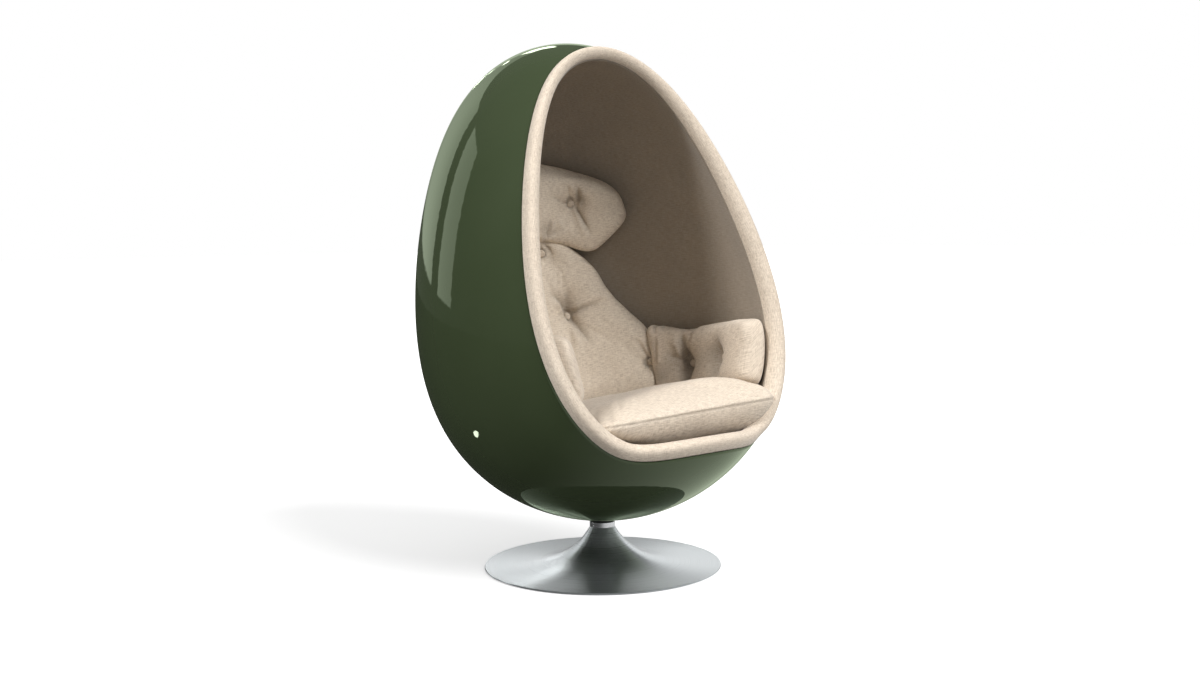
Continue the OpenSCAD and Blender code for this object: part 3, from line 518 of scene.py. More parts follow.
finishes = {
    "gelCoat": gelCoat(),
    "beigeLinen": linen("beigeLinen", (0.72, 0.63, 0.52), (0.62, 0.53, 0.43), (0.47, 0.39, 0.31)),
    # a lighter copy of the beige linen, painted light for the back and head cushions
    "litBackLinen": linen("litBackLinen", (0.79, 0.70, 0.58), (0.69, 0.60, 0.49), (0.54, 0.45, 0.36)),
    # a darker copy of the beige linen, painted shade for the lining inside the shell; the deck pad takes it
    # too
    "shadedLiningLinen": linen("shadedLiningLinen", (0.36, 0.305, 0.245), (0.315, 0.267, 0.212), (0.27, 0.225, 0.178),
                         0.4, 0.11),
    "brushedMetal": brushedMetal(),
    "brightMetal": plainFinish("brightMetal", (0.78, 0.79, 0.80), 0.25, 0.75, 200, 0.05),
    "steel": plainFinish("plainSteel", (0.42, 0.42, 0.43), 0.35, 1.0),
    "bronze": plainFinish("bearingBronze", (0.5, 0.33, 0.14), 0.35, 1.0),
    "plywood": plainFinish("beechPlywood", (0.5, 0.36, 0.2), 0.6, 0.0, 25, 0.25),
    "rubber": plainFinish("blackRubber", (0.02, 0.02, 0.02), 0.7, 0.0, 300, 0.3),
    "felt": plainFinish("greyFelt", (0.07, 0.07, 0.07), 0.95, 0.0, 400, 0.4),
}
print("materials built")


def setFinish(obj, finish):
    obj.data.materials.clear()
    obj.data.materials.append(finishes[finish])


def finishPiece(obj, finish, slot, *replaced):
    setFinish(obj, finish)
    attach(obj, "seat")
    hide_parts(*replaced)
    return obj


# Shell and lining
shellSizes = {"start": 0.0, "depth": 0.006, "columns": 240, "rings": 110}
shellPiece = eggShell("eggShell", shellSizes)
finishPiece(shellPiece, "gelCoat", "green_gel_coat", "outer_shell")

liningSizes = {"start": 0.0066, "depth": 0.0342, "columns": 160, "rings": 70,
               "thinFrom": 0.78, "thinOver": 0.40, "thinMost": 0.56, "thinRings": (6, 34), "thinPower": 1.3}


# The lining gets thinner near the opening's top, where its inside face comes nearer to the shell
def thinLining(obj):
    columns, rings = liningSizes["columns"], liningSizes["rings"]
    p = meshPoints(obj.data)
    half = len(p) // 2
    outer, inner = p[:half - 1].reshape(rings, columns, 3), p[half:-1].reshape(rings, columns, 3)
    rise = (inner[:, :, 2] - liningSizes["thinFrom"]) / liningSizes["thinOver"]
    high = np.clip(rise, 0, 1) ** liningSizes["thinPower"]
    whole, none = liningSizes["thinRings"]
    near = ease((none - np.arange(rings)) / (none - whole))
    inner += (outer - inner) * (liningSizes["thinMost"] * high * near[:, None])[:, :, None]
    p[half:-1] = inner.reshape(-1, 3)
    setPoints(obj.data, p)


liningPiece = eggShell("liningPad", liningSizes)
thinLining(liningPiece)
finishPiece(liningPiece, "shadedLiningLinen", "beige_fabric", "lining_fabric", "lining_foam")
print("shell and lining built")

# Padded rim: a section in shares of the roll's width and bulge, swept along the opening's edge. The
# section stands up where the shell's edge does, and gets narrower and flatter towards the top.
rimRoll = {"width": 0.0385, "bulge": 0.031, "gap": 0.0012, "stations": 420, "sides": 28, "girth": 0.11,
           "topFrom": 0.80, "topOver": 0.42, "topPower": 1.3, "topStand": 0.8, "topNarrow": 0.36,
           "topFlat": 0.35, "standEase": 0.02,
           "section": [(-0.03, 0.06), (-0.04, 0.3), (-0.03, 0.6), (0.04, 0.85), (0.19, 0.98), (0.4, 1.0),
                       (0.63, 0.9), (0.84, 0.66), (0.97, 0.32), (0.99, 0.05)],
           "heelShares": (1.0, 0.7, 0.4, 0.05)}


def rimSection():
    section = np.array(rimRoll["section"])
    knots = np.linspace(0, 1, len(section))
    fine = np.linspace(0, 1, rimRoll["sides"] - len(rimRoll["heelShares"]))
    curves = [np.interp(fine, knots, section[:, 0]), np.interp(fine, knots, section[:, 1])]
    for curve in curves:
        for _ in range(3):
            curve[1:-1] = (curve[:-2] + 2 * curve[1:-1] + curve[2:]) / 4
    return curves


def buildRim():
    gap = rimRoll["gap"]
    angles = np.linspace(0, 2 * math.pi, rimRoll["stations"], endpoint=False)
    turn, t = eggWay(angles, openingFan(angles, 0.0))
    edge = wallPoint(turn, t, 0.0)
    _, ahead = inFront(edge)
    along = np.roll(edge, -1, axis=0) - np.roll(edge, 1, axis=0)
    inward = np.cross(ahead, along)
    inward /= np.linalg.norm(inward, axis=1)[:, None]
    inward *= np.sign((inward * (edge.mean(0) - edge)).sum(1))[:, None]
    topness = np.clip((edge[:, 2] - rimRoll["topFrom"]) / rimRoll["topOver"], 0, 1) ** rimRoll["topPower"]
    rise = (wallInward(turn, t) * ahead).sum(1)
    soft = (rise + np.sqrt(rise * rise + rimRoll["standEase"])) / 2
    stand = np.arcsin(np.minimum(1, soft)) * (1 - rimRoll["topStand"] * topness)
    cosS, sinS = np.cos(stand)[:, None], np.sin(stand)[:, None]
    across = inward * cosS + ahead * sinS
    outward = ahead * cosS - inward * sinS
    base = edge + gap * ahead
    wide = rimRoll["width"] * (1 - rimRoll["topNarrow"] * topness)
    bulging = rimRoll["bulge"] * (1 - rimRoll["topFlat"] * topness)
    a, b = rimSection()
    front = (base[:, None, :] + wide[:, None, None] * a[None, :, None] * across[:, None, :]
             + bulging[:, None, None] * b[None, :, None] * outward[:, None, :])
    heels = []
    for share in rimRoll["heelShares"]:
        p = edge + share * wide[:, None] * inward
        for _ in range(3):
            off, way = inFront(p)
            p = p - (off - gap)[:, None] * way
        heels.append(p)
    rings = np.concatenate([front, np.stack(heels, 1)], 1)
    length = np.cumsum(np.r_[0, np.linalg.norm(np.diff(edge, axis=0), axis=1)])
    girth = np.linspace(0, rimRoll["girth"], rings.shape[1])
    uvs = np.stack([np.repeat(length, rings.shape[1]), np.tile(girth, len(length))], -1)
    faces = ringFaces(len(angles), rings.shape[1], closedRows=True)
    return outwards(meshObject("rimRoll", rings.reshape(-1, 3), faces, uvs))


rimPiece = finishPiece(buildRim(), "beigeLinen", "beige_fabric", "rim_roll")
print("rim built")

# Soft goods: inflating, then sewn folds
inflation = {"voxel": 0.0058, "frames": 20, "quality": 5, "mass": 0.3, "stiffness": 12.0, "shear": 4.0,
             "bending": 0.4, "pressure": 4.0}


# Holds the points by their share, in tenths
def holdPoints(obj, share):
    held = obj.vertex_groups.new(name="held")
    for step in range(1, 11):
        chosen = np.where(np.round(share * 10).astype(int) == step)[0]
        if len(chosen):
            held.add([int(k) for k in chosen], step / 10, "REPLACE")


# Blows a mesh up as cloth, and limits how far a point goes
def blowUp(obj, share, cap):
    before = meshPoints(obj.data)
    holdPoints(obj, share)
    cloth = obj.modifiers.new("cloth", "CLOTH")
    setup = cloth.settings
    setup.quality = inflation["quality"]
    setup.mass = inflation["mass"]
    setup.tension_stiffness = setup.compression_stiffness = inflation["stiffness"]
    setup.shear_stiffness = inflation["shear"]
    setup.bending_stiffness = inflation["bending"]
    setup.use_pressure = True
    setup.uniform_pressure_force = inflation["pressure"]
    setup.vertex_group_mass = "held"
    setup.effector_weights.gravity = 0.0
    cloth.point_cache.frame_start = 1
    cloth.point_cache.frame_end = inflation["frames"]
    for step in range(1, inflation["frames"] + 1):
        scene.frame_set(step)
    bakeModifiers(obj)
    scene.frame_set(1)
    obj.vertex_groups.clear()
    moved = meshPoints(obj.data) - before
    length = np.maximum(np.linalg.norm(moved, axis=1), 1e-9)
    limited = cap * np.tanh(length / cap)
    setPoints(obj.data, before + moved * (limited / length)[:, None])


# Remeshes a closed form, blows it up where heldShare lets it go, and subdivides it once
def inflate(obj, heldShare, cap):
    remesh = obj.modifiers.new("evenMesh", "REMESH")
    remesh.mode = "VOXEL"
    remesh.voxel_size = inflation["voxel"]
    remesh.use_smooth_shade = True
    bakeModifiers(obj)
    blowUp(obj, np.clip(heldShare(meshPoints(obj.data)), 0, 1), cap)
    smooth = obj.modifiers.new("smooth", "SUBSURF")
    smooth.levels = smooth.render_levels = 1
    bakeModifiers(obj)


# Offset from a line on a flat map: distance, signed distance and share of the way along it
def lineOffsets(place, line):
    best = np.full(len(place), 1e9)
    signed = np.zeros(len(place))
    along = np.zeros(len(place))
    lengths = np.r_[0, np.cumsum(np.linalg.norm(np.diff(line, axis=0), axis=1))]
    for k in range(len(line) - 1):
        a, way = line[k], line[k + 1] - line[k]
        size = np.linalg.norm(way)
        way = way / size
        run = np.clip((place - a) @ way, 0, size)
        off = place - (a + run[:, None] * way)
        d = np.linalg.norm(off, axis=1)
        closer = d < best
        best = np.where(closer, d, best)
        signed = np.where(closer, off @ np.array([-way[1], way[0]]), signed)
        along = np.where(closer, (lengths[k] + run) / lengths[-1], along)
    return best, signed, along


# tone is how dark the painted shade in a fold's valley is; folds shallower than the last depth get less of it
foldForm = {"fadeFrom": 0.35, "widening": 0.9, "valleyPower": 1.4, "ridgeAt": 1.7, "ridgeWidth": 1.2,
            "ridgeReach": 4, "tone": 0.6, "fullShadeDepth": 0.008}


# Depth of folds and the painted shade in their valleys: a valley along each line with a low ridge beside it,
# on a flat map in metres
def foldDraw(place, folds):
    total, shade = np.zeros(len(place)), np.zeros(len(place))
    for line, depth, width, ridgeShare in folds:
        best, signed, along = lineOffsets(place, np.asarray(line, dtype=float))
        fade = 1 - ease((along - foldForm["fadeFrom"]) / (1 - foldForm["fadeFrom"]))
        wide = width * (1 + foldForm["widening"] * along)
        valley = np.exp(-(best / wide) ** foldForm["valleyPower"])
        beside = signed * np.sign(ridgeShare) - foldForm["ridgeAt"] * wide
        near = best < foldForm["ridgeReach"] * wide
        ridge = np.exp(-(beside / (foldForm["ridgeWidth"] * wide)) ** 2) * near
        total += depth * fade * (valley - abs(ridgeShare) * ridge)
        tone = foldForm["tone"] * min(1, depth / foldForm["fullShadeDepth"])
        shade = np.maximum(shade, tone * fade * valley)
    return total, shade


pullForm = {"creaseAt": 0.35, "creaseSpread": 0.5, "dimple": 0.0045, "dimpleSize": 0.011,
            "ringShadeTone": 0.8, "ringRadius": 0.010, "ringWidth": 0.005}


# Small creases that run out from each sewn button, and the dimple round it with a ring of painted shade
def pullDraw(place, spots):
    total, shade = np.zeros(len(place)), np.zeros(len(place))
    for k, (spot, reach, depth, count) in enumerate(spots):
        off = place - np.asarray(spot)
        d = np.linalg.norm(off, axis=1)
        around = np.arctan2(off[:, 1], off[:, 0])
        wave = np.cos(count * around + 1.3 * np.sin(2 * around + k) + 0.7 * k) ** 3
        spread = (d - pullForm["creaseAt"] * reach) / (pullForm["creaseSpread"] * reach)
        total += depth * wave * np.exp(-spread ** 2)
        total += pullForm["dimple"] * np.exp(-(d / pullForm["dimpleSize"]) ** 2)
        ring = np.exp(-((d - pullForm["ringRadius"]) / pullForm["ringWidth"]) ** 2)
        shade = np.maximum(shade, pullForm["ringShadeTone"] * ring)
    return total, shade


# Low unevenness of a filled cushion, from three crossed waves
def lumps(points, size, height, shift=0.0):
    x, y, z = (points / size + shift).T
    wave = (np.sin(x * 1.7 + 1.3 * np.sin(y * 1.1)) + np.sin(y * 2.1 + 1.7 * np.sin(z * 1.3))
            + np.sin(z * 1.9 + 1.1 * np.sin(x * 1.5 + 2.0)))
    return height * wave / 3


# The painted shade as a point attribute, which the linen finishes darken their colour by
def setPaintedShade(obj, shade):
    layer = obj.data.attributes.new("paintedShade", "FLOAT", "POINT")
    layer.data.foreach_set("value", np.asarray(shade, dtype=np.float32))


# Cushions on the wall. A place on one is s along it and t across it, both from -1 to 1. Turns are
# angles round the egg's axis, and levels are shares of its half length.
liningDepth = 0.0337
wallCushions = {"restGap": 0.0008, "seamShare": 0.36, "tuftDepth": 0.030, "tuftSpread": 0.034, "slack": 0.93,
                "creaseDeg": 27.0, "armFrontDeg": -35.0, "armEndsDeg": (2.0, 0.8), "backTop": 0.372,
                "headBottom": 0.350, "headTop": 0.705, "headEndDeg": 23.0, "headDroop": 0.068,
                "droopAt": 0.68, "droopWidth": 0.17, "levelDip": 0.155, "cap": 0.011, "mapRadius": 0.33,
                "armLift": 0.036, "armLiftDeg": (12, 26), "armDip": (0.010, 7, 6), "seatSink": 0.016,
                "seatCrownShare": 0.15, "stations": 130, "sides": 110, "buttonDepth": 0.05,
                "buttonHold": 0.012, "holdSpan": (0.25, 0.2), "frontSpan": (0.15, 0.3), "mapDepthShare": 0.9,
                "mapDepthMost": 0.5, "lumpSize": 0.035, "lumpHeight": 0.0012,
                "backSideAt": [-1, -0.30, -0.15, 0.0, 0.17, 0.4, 0.6, 1.0],
                "backSideDeg": [27, 27, 27.6, 30.2, 34.2, 39.2, 42.4, 45]}
seatPad = {"height": 0.292, "slopeDeg": 6.0, "topSlopeDeg": 11.5, "front": 0.314, "back": 0.205,
           "edge": 0.076, "crown": 0.044, "corner": 0.300, "cornerDraw": 0.030, "armHeight": 0.262}
cushionDepths = {"back": 0.088, "head": 0.098, "arm": 0.084}
# how square a cushion's outline and its ends are; the arm's rear end and the back's lower edge, which
# meet their neighbours in a crease, are squarer
cushionPowers = {"head": (2.7, 3.0), "armRear": (22.0, 16.0), "armFront": (8.0, 5.0), "back": (7.0, 4.0),
                 "backLower": (7, 5), "backRise": 9, "otherRise": 5}
# buttons: s, t and share of the full depth
tufts = {"arm": [(-0.45, -0.05, 1.15), (0.20, -0.04, 0.68)],
         "head": [(0.592, 0.15, 1.0), (-0.592, 0.15, 1.0)],
         "back": [(0.505, 0.165, 0.9), (-0.505, 0.165, 0.9), (0.96, -0.5, 0.7), (-0.96, -0.5, 0.7),
                  (0.43, 0.83, 0.6), (-0.43, 0.83, 0.6)]}
# folds: points (turn in degrees, height along the egg in mm), depth, width, share of the ridge and its side
wallFolds = {
    "head": [([(47.7, 232), (45.1, 199), (42.6, 166), (41.4, 151)], 0.0096, 0.0055, 0.45),
             ([(46.4, 252), (44.1, 269), (42.4, 290)], 0.0080, 0.006, 0.4),
             ([(50.5, 246), (63.9, 262), (71.0, 266)], 0.0035, 0.007, 0.3),
             ([(68.5, 178), (66.0, 196), (63.5, 212)], 0.0064, 0.005, -0.4),
             ([(67.5, 174), (59.2, 186), (54.0, 192)], 0.0048, 0.007, 0.3)],
    "back": [([(62.4, -14), (63.7, 6), (66.9, 23), (72.5, 42)], 0.0088, 0.0055, -0.5),
             ([(59.4, -19), (54.3, -14.8), (48.5, -9.9), (42.4, -4)], 0.0072, 0.0055, -0.5),
             ([(60.7, -33), (58.1, -61.6), (55.7, -90.3), (53.0, -128)], 0.0104, 0.008, 0.5),
             ([(61.4, -8), (60.8, 30), (60.6, 52)], 0.0072, 0.012, 0.1),
             ([(68.6, 160), (66.4, 140), (64.5, 118)], 0.0072, 0.006, 0.4),
             ([(70.5, 160), (71.5, 135), (72.0, 110)], 0.0056, 0.006, -0.4),
             ([(50.4, 108), (46.0, 101), (43.3, 95)], 0.0040, 0.004, 0.4),
             ([(27.4, -172), (28.4, -146), (29.0, -112)], 0.0056, 0.004, 0.5),
             ([(29.2, -176), (31.0, -150), (32.0, -120)], 0.0040, 0.004, 0.5)],
    "arm": [([(10.9, -198), (10.4, -170), (10.2, -138), (10.0, -112)], 0.013, 0.0075, -0.45),
            ([(-11.0, -212), (-12.0, -180), (-12.6, -140)], 0.0050, 0.013, 0.2),
            ([(10.9, -214), (10.6, -245), (10.4, -290)], 0.013, 0.011, 0.2),
            ([(-11.0, -226), (-10.6, -250), (-10.2, -290)], 0.0060, 0.014, 0.1),
            ([(9.0, -196), (6.0, -160), (3.5, -120)], 0.0040, 0.0050, 0.5),
            ([(5.5, -150), (2.0, -125), (0.0, -108)], 0.0032, 0.0045, 0.5),
            ([(12.5, -200), (17.0, -188), (21.0, -170)], 0.0042, 0.0060, -0.4),
            ([(24.8, -180), (24.0, -146), (23.6, -112)], 0.0040, 0.0045, 0.4),
            ([(24.4, -84), (23.6, -104), (23.0, -126)], 0.0060, 0.0034, 0.4),
            ([(20.6, -88), (20.0, -106), (19.4, -122)], 0.0050, 0.0034, -0.4),
            ([(9.6, -100), (9.8, -114), (10.0, -130)], 0.0060, 0.0040, 0.4)]}
# broad hollows: turn in degrees, height in mm, radius, depth, tone of the painted shade; the ones with no
# depth are painted shade only
wallHollowShades = {"head": [(44.2, 250, 0.020, 0.006, 0.7), (69.0, 190, 0.022, 0.003, 0.4)],
               "back": [(61.3, -16, 0.020, 0.002, 0.45), (55.5, -10, 0.018, 0.002, 0.3),
                        (27.8, -200, 0.018, 0.002, 0.4)],
               "arm": [(10.9, -205, 0.030, 0.003, 0.62), (-10.0, -217, 0.030, 0.004, 0.72),
                       (10.6, -250, 0.022, 0.004, 0.6), (-9.4, -258, 0.020, 0.004, 0.5),
                       (24.0, -232, 0.024, 0.002, 0.6), (10.3, -155, 0.016, 0.001, 0.35),
                       (18.0, -205, 0.034, 0.000, 0.42), (0.0, -215, 0.036, 0.000, 0.32)]}
# pulls round a button: reach, depth, count
wallPulls = {"head": (0.042, 0.0013, 8), "back": (0.045, 0.0012, 8), "arm": (0.036, 0.0015, 8)}


def levelAngle(turn, level):
    return np.arccos(np.clip(-(level + wallCushions["levelDip"] * (np.sin(turn) - 1)), -1, 1))


# Level at which the wall meets a plane that slopes down to the back
def levelAt(turn, height, slopeDeg):
    def isUnder(level):
        p = wallPoint(turn, levelAngle(turn, level), liningDepth)
        return p[..., 2] <= height - p[..., 1] * math.tan(math.radians(slopeDeg))
    low, high = bisect(np.full_like(turn, -0.9), np.full_like(turn, 0.4), isUnder)
    return (low + high) / 2


def seatRest(turn):
    height = seatPad["height"] + seatPad["edge"] + seatPad["crown"] * wallCushions["seatCrownShare"]
    return levelAt(turn, height, seatPad["topSlopeDeg"]) - wallCushions["seatSink"]


def armTop(turn):
    slopeDeg = (seatPad["slopeDeg"] + seatPad["topSlopeDeg"]) / 2
    return levelAt(turn, seatPad["height"] + seatPad["armHeight"], slopeDeg)


def headDroop(turn):
    c = wallCushions
    aside = np.abs(np.degrees(turn) - 90) / (90 - c["headEndDeg"])
    d = (aside - c["droopAt"]) / c["droopWidth"]
    return c["headDroop"] * np.exp(-d * d)


def atCorner(angle, cornerDeg, spreadDeg):
    off = np.degrees(np.angle(np.exp(1j * (angle - math.radians(cornerDeg)))))
    return np.exp(-(off / spreadDeg) ** 2)


def cushionTurn(kind, s, t):
    c = wallCushions
    if kind == "arm":
        middle = (c["creaseDeg"] + c["armFrontDeg"]) / 2
        front, rear = (c["armFrontDeg"] - over - middle for over in c["armEndsDeg"])
        return np.radians(middle + np.where(s > 0, front, rear) * s)
    side = c["headEndDeg"] if kind == "head" else np.interp(t, c["backSideAt"], c["backSideDeg"])
    return np.radians(90 - (90 - side) * s)


def cushionLevel(kind, turn, t):
    c = wallCushions
    if kind == "head":
        low, high = c["headBottom"] - headDroop(turn), c["headTop"]
    elif kind == "back":
        low, high = seatRest(turn), c["backTop"] - headDroop(turn)
    else:
        start, end = c["armLiftDeg"]
        dip, dipDeg, dipSpread = c["armDip"]
        lift = c["armLift"] * ease((np.degrees(turn) - start) / (end - start))
        low, high = seatRest(turn), armTop(turn) + lift - dip * atCorner(turn, dipDeg, dipSpread)
    return low + (high - low) * ((t + 1) / 2)


def cushionPlace(kind, s, t, depth):
    turn = cushionTurn(kind, s, t)
    return wallPoint(turn, levelAngle(turn, cushionLevel(kind, turn, t)), depth)


def cushionSpot(kind, s, t, depth):
    return cushionPlace(kind, np.array([s]), np.array([t]), depth)[0]


def roundOff(x, power):
    return np.maximum(0, 1 - np.abs(x) ** power) ** (1 / power)


def tuftDraw(kind, place):
    draw = np.zeros(place.shape[:-1])
    for s, t, share in tufts[kind]:
        d = np.linalg.norm(place - cushionSpot(kind, s, t, liningDepth), axis=-1) / wallCushions["tuftSpread"]
        draw = np.maximum(draw, share * wallCushions["tuftDepth"] * np.exp(-d * d))
    return draw


def sidePowers(kind, s, angle):
    powers = cushionPowers
    if kind == "arm":
        return tuple(np.where(s < 0, rear, front)
                     for rear, front in zip(powers["armRear"], powers["armFront"]))
    if kind == "back":
        low = ease(-np.cos(angle) * 2)
        return tuple(plain + more * low for plain, more in zip(powers["back"], powers["backLower"]))
    return powers[kind]


# The cushion's skin: angles up to pi are its front, the rest its back on the wall
def cushionSurface(kind, s, angle):
    widthPower, endPower = sidePowers(kind, s, angle)
    part = np.cos(angle)
    risePower = cushionPowers["backRise" if kind == "back" else "otherRise"]
    rise = roundOff(part, risePower) * roundOff(s, endPower)
    isFront = angle < math.pi
    side = np.where(isFront, rise, -rise)
    t = part * roundOff(s, widthPower)
    full = cushionDepths[kind] * wallCushions["slack"]
    seam = full * wallCushions["seamShare"]
    depth = np.where(side < 0, seam * (1 + side), seam + (full - seam) * side)
    flat = cushionPlace(kind, s, t, liningDepth)
    depth = depth - np.where(isFront, rise * tuftDraw(kind, flat), 0)
    return cushionPlace(kind, s, t, liningDepth + wallCushions["restGap"] + depth)


# The wall as a flat map in metres, mirrored at the middle: way round the egg and height along its axis
def wallMap(points):
    w, v = toEgg(points[:, 1], points[:, 2], eggHeight)
    return np.stack([np.arctan2(w, np.abs(points[:, 0])) * wallCushions["mapRadius"], v], -1)


def onMap(spots):
    return [(math.radians(turn) * wallCushions["mapRadius"], rise / 1000) for turn, rise in spots]


# How far a point stands off the lining
def wallDepth(points):
    w, v = toEgg(points[:, 1], points[:, 2], eggHeight)
    angles = np.linspace(0.03, math.pi - 0.03, 500)
    along = np.interp(v, eggProfile(angles, 0.0)[1], angles)
    skin, _, nr, _ = eggProfile(along, 0.0)
    return (skin - np.hypot(points[:, 0], w)) * nr - liningDepth


def cushionForm(name, kind):
    stations, sides = wallCushions["stations"], wallCushions["sides"]
    s = np.sin(np.linspace(-math.pi / 2, math.pi / 2, stations + 2)[1:-1])
    angle = (np.arange(sides) + 0.5) / sides * 2 * math.pi
    points = cushionSurface(kind, *np.meshgrid(s, angle, indexing="ij")).reshape(-1, 3)
    ends = [cushionSurface(kind, np.array([e]), np.array([math.pi / 2]))[0] for e in (-0.99999, 0.99999)]
    faces = ringFaces(stations, sides) + capFaces(stations, sides)
    return outwards(meshObject(name, np.concatenate([points, ends]), faces))


def buildWallCushion(name, kind):
    c = wallCushions
    obj = cushionForm(name, kind)
    full = cushionDepths[kind]
    sewn = wallMap(np.array([cushionSpot(kind, s, t, liningDepth + c["buttonDepth"])
                             for s, t, _ in tufts[kind] if s > 0 or kind == "arm"]))

    def heldShare(p):
        place = wallMap(p)
        start, span = c["holdSpan"]
        share = 1 - ease((wallDepth(p) / full - start) / span)
        for spot in sewn:
            d = np.linalg.norm(place - spot, axis=1)
            share = np.maximum(share, np.exp(-(d / c["buttonHold"]) ** 2))
        return share

    inflate(obj, heldShare, c["cap"])
    p, n = meshPoints(obj.data), meshNormals(obj.data)
    place, depth = wallMap(p), wallDepth(p)
    start, span = c["frontSpan"]
    front = ease((depth - start * full) / (span * full))
    draw, dark = foldDraw(place, [(onMap(line), *rest) for line, *rest in wallFolds[kind]])
    pulled, pullDark = pullDraw(place, [(spot, *wallPulls[kind]) for spot in sewn])
    # each hollow paints shade round its middle, also where it has no depth
    for turn, rise, size, hollowDepth, tone in wallHollowShades[kind]:
        hollow = np.exp(-(np.linalg.norm(place - onMap([(turn, rise)])[0], axis=1) / size) ** 2)
        pulled = pulled + hollowDepth * hollow
        dark = 1 - (1 - dark) * (1 - tone * hollow)
    uneven = lumps(p, c["lumpSize"], c["lumpHeight"])
    setPoints(obj.data, p - n * (front * (draw + pulled + uneven))[:, None])
    setClothMap(obj, place + c["mapDepthShare"] * np.minimum(depth, c["mapDepthMost"] * full)[:, None])
    setPaintedShade(obj, front * np.maximum(dark, pullDark))
    return obj


# A copy on the other side of the chair, with its faces still pointing outwards
def mirrored(obj, name):
    twin = linkMesh(name, obj.data.copy())
    setPoints(twin.data, meshPoints(twin.data) * np.array([-1.0, 1.0, 1.0]))
    twin.data.flip_normals()
    return twin


backCushion = buildWallCushion("backCushion", "back")
headCushion = buildWallCushion("headCushion", "head")
leftArmCushion = buildWallCushion("leftArmCushion", "arm")
rightArmCushion = mirrored(leftArmCushion, "rightArmCushion")
for cushion, finish, cadNode in ((backCushion, "litBackLinen", "back_cushion"),
                                 (headCushion, "litBackLinen", "head_cushion"),
                                 (leftArmCushion, "beigeLinen", "left_arm_cushion"),
                                 (rightArmCushion, "beigeLinen", "right_arm_cushion")):
    finishPiece(cushion, finish, "beige_fabric", cadNode)
print("wall cushions built")

# Seat cushion: a pillow with a seam, used and uneven, lifted at its front on +X and lower on the other side
# The seam's and the underside's tones are painted shade, darker along the seam's groove and on the front's
# lower face
pillow = {"columns": 280, "rows": 46, "seamLift": 0.66, "topBulge": 0.061, "bulgeShare": 0.35,
          "bulgeFrom": 0.08, "tipTop": 0.075, "tipPivot": 0.08, "tipSpan": (0.15, 0.3), "seamTip": 0.030,
          "cornerDeg": -43.0, "cornerOut": 0.020, "cornerSpread": 17, "rightOut": 0.115, "rightSpread": 12,
          "lowSpread": (7, 15), "lowShare": (0.6, 0.5), "rearGap": 0.004, "rearFrom": -0.2,
          "wallGap": 0.002, "frontFrom": 0.48, "frontOver": 0.2,
          "outlinePower": 18.0, "cap": 0.007, "topPowers": (3.2, 1.9), "lowPowers": (9.0, 2.2),
          "seamHold": 0.9, "seamHoldWidth": 0.008, "seamReach": 0.02, "floorHold": (0.012, 0.02),
          "seamDepth": 0.0022, "seamWidth": 0.0022, "seamNear": 0.03, "weltHeight": 0.0008,
          "weltUp": 0.005, "weltWidth": 0.003, "seamShadeTone": 0.38, "seamShadeWidth": 0.0026,
          "creaseOver": 0.02, "underShadeTone": 0.42, "underShadeOver": 0.05, "underShadeSpan": (0.16, 0.2),
          "lumpSize": 0.05, "lumpHeight": 0.0022, "lumpInside": (0.005, 0.05)}
# creases on top, seen from above: points, depth, width, share of the ridge and its side
seatCreases = [([(-0.262, -0.292), (-0.235, -0.235), (-0.215, -0.175)], 0.0045, 0.008, 0.4),
               ([(-0.235, -0.300), (-0.195, -0.250), (-0.165, -0.205)], 0.0030, 0.007, -0.4),
               ([(0.285, -0.275), (0.240, -0.262), (0.190, -0.258)], 0.0028, 0.008, 0.4),
               ([(0.290, -0.250), (0.262, -0.215), (0.240, -0.170)], 0.0030, 0.008, 0.4)]
seatMiddle = (seatPad["back"] - seatPad["front"]) / 2
seatSlope, seatTopSlope = (math.tan(math.radians(seatPad[k])) for k in ("slopeDeg", "topSlopeDeg"))


def seatThick(y):
    return seatPad["edge"] + y * (seatSlope - seatTopSlope)


def seatFloor(y):
    return seatPad["height"] - y * seatSlope


def seamHeight(x, y):
    return seatFloor(y) + pillow["seamLift"] * seatThick(y) + pillow["seamTip"] * x


# How far the cushion reaches from its middle: to the wall behind, to its own corners and front before it
def seatEdge(angle, lift):
    def isInside(reach):
        x, y = reach * np.cos(angle), seatMiddle + reach * np.sin(angle)
        w, v = toEgg(y, seatFloor(y) + lift * seatThick(y), eggHeight)
        r, _, nr, _ = eggProfile(eggAngle(v), 0)
        r = np.where(np.abs(v) < egg["halfLength"], r - liningDepth / np.maximum(nr, 0.05), 0)
        return x * x + w * w < r * r
    reach = bisect(np.zeros_like(angle), np.full_like(angle, 2 * egg["radius"]), isInside)[0]
    reach = reach - pillow["wallGap"]
    corner = seatPad["corner"] - seatPad["cornerDraw"] * (1 - lift) ** 2
    corner = corner / np.maximum(np.abs(np.cos(angle)), 0.02)
    front = ease((-np.sin(angle) - pillow["frontFrom"]) / pillow["frontOver"])
    wall = reach + (np.minimum(reach, corner) - reach) * front
    depth = np.where(np.sin(angle) < 0, seatPad["front"] + seatMiddle, seatPad["back"] - seatMiddle)
    depth = depth / np.maximum(np.abs(np.sin(angle)), 0.02)
    power = pillow["outlinePower"]
    return (wall ** -power + depth ** -power) ** (-1 / power)


def pillowRing(angle, reach, out, lift, upper, flatness):
    x, y = reach * out * np.cos(angle), seatMiddle + reach * out * np.sin(angle)
    seam = seamHeight(x, y)
    if upper:
        z = seam + lift * (pillow["topBulge"] + pillow["bulgeShare"] * (seatThick(y) - pillow["bulgeFrom"]))
        start, span = pillow["tipSpan"]
        z = z + lift * pillow["tipTop"] * (x - pillow["tipPivot"]) * ease((start - y) / span)
    else:
        z = seam - lift * (seam - seatFloor(y)) * (flatness + (1 - flatness) * (1 - out) ** 0.5)
    return np.stack([x, y, z], -1)


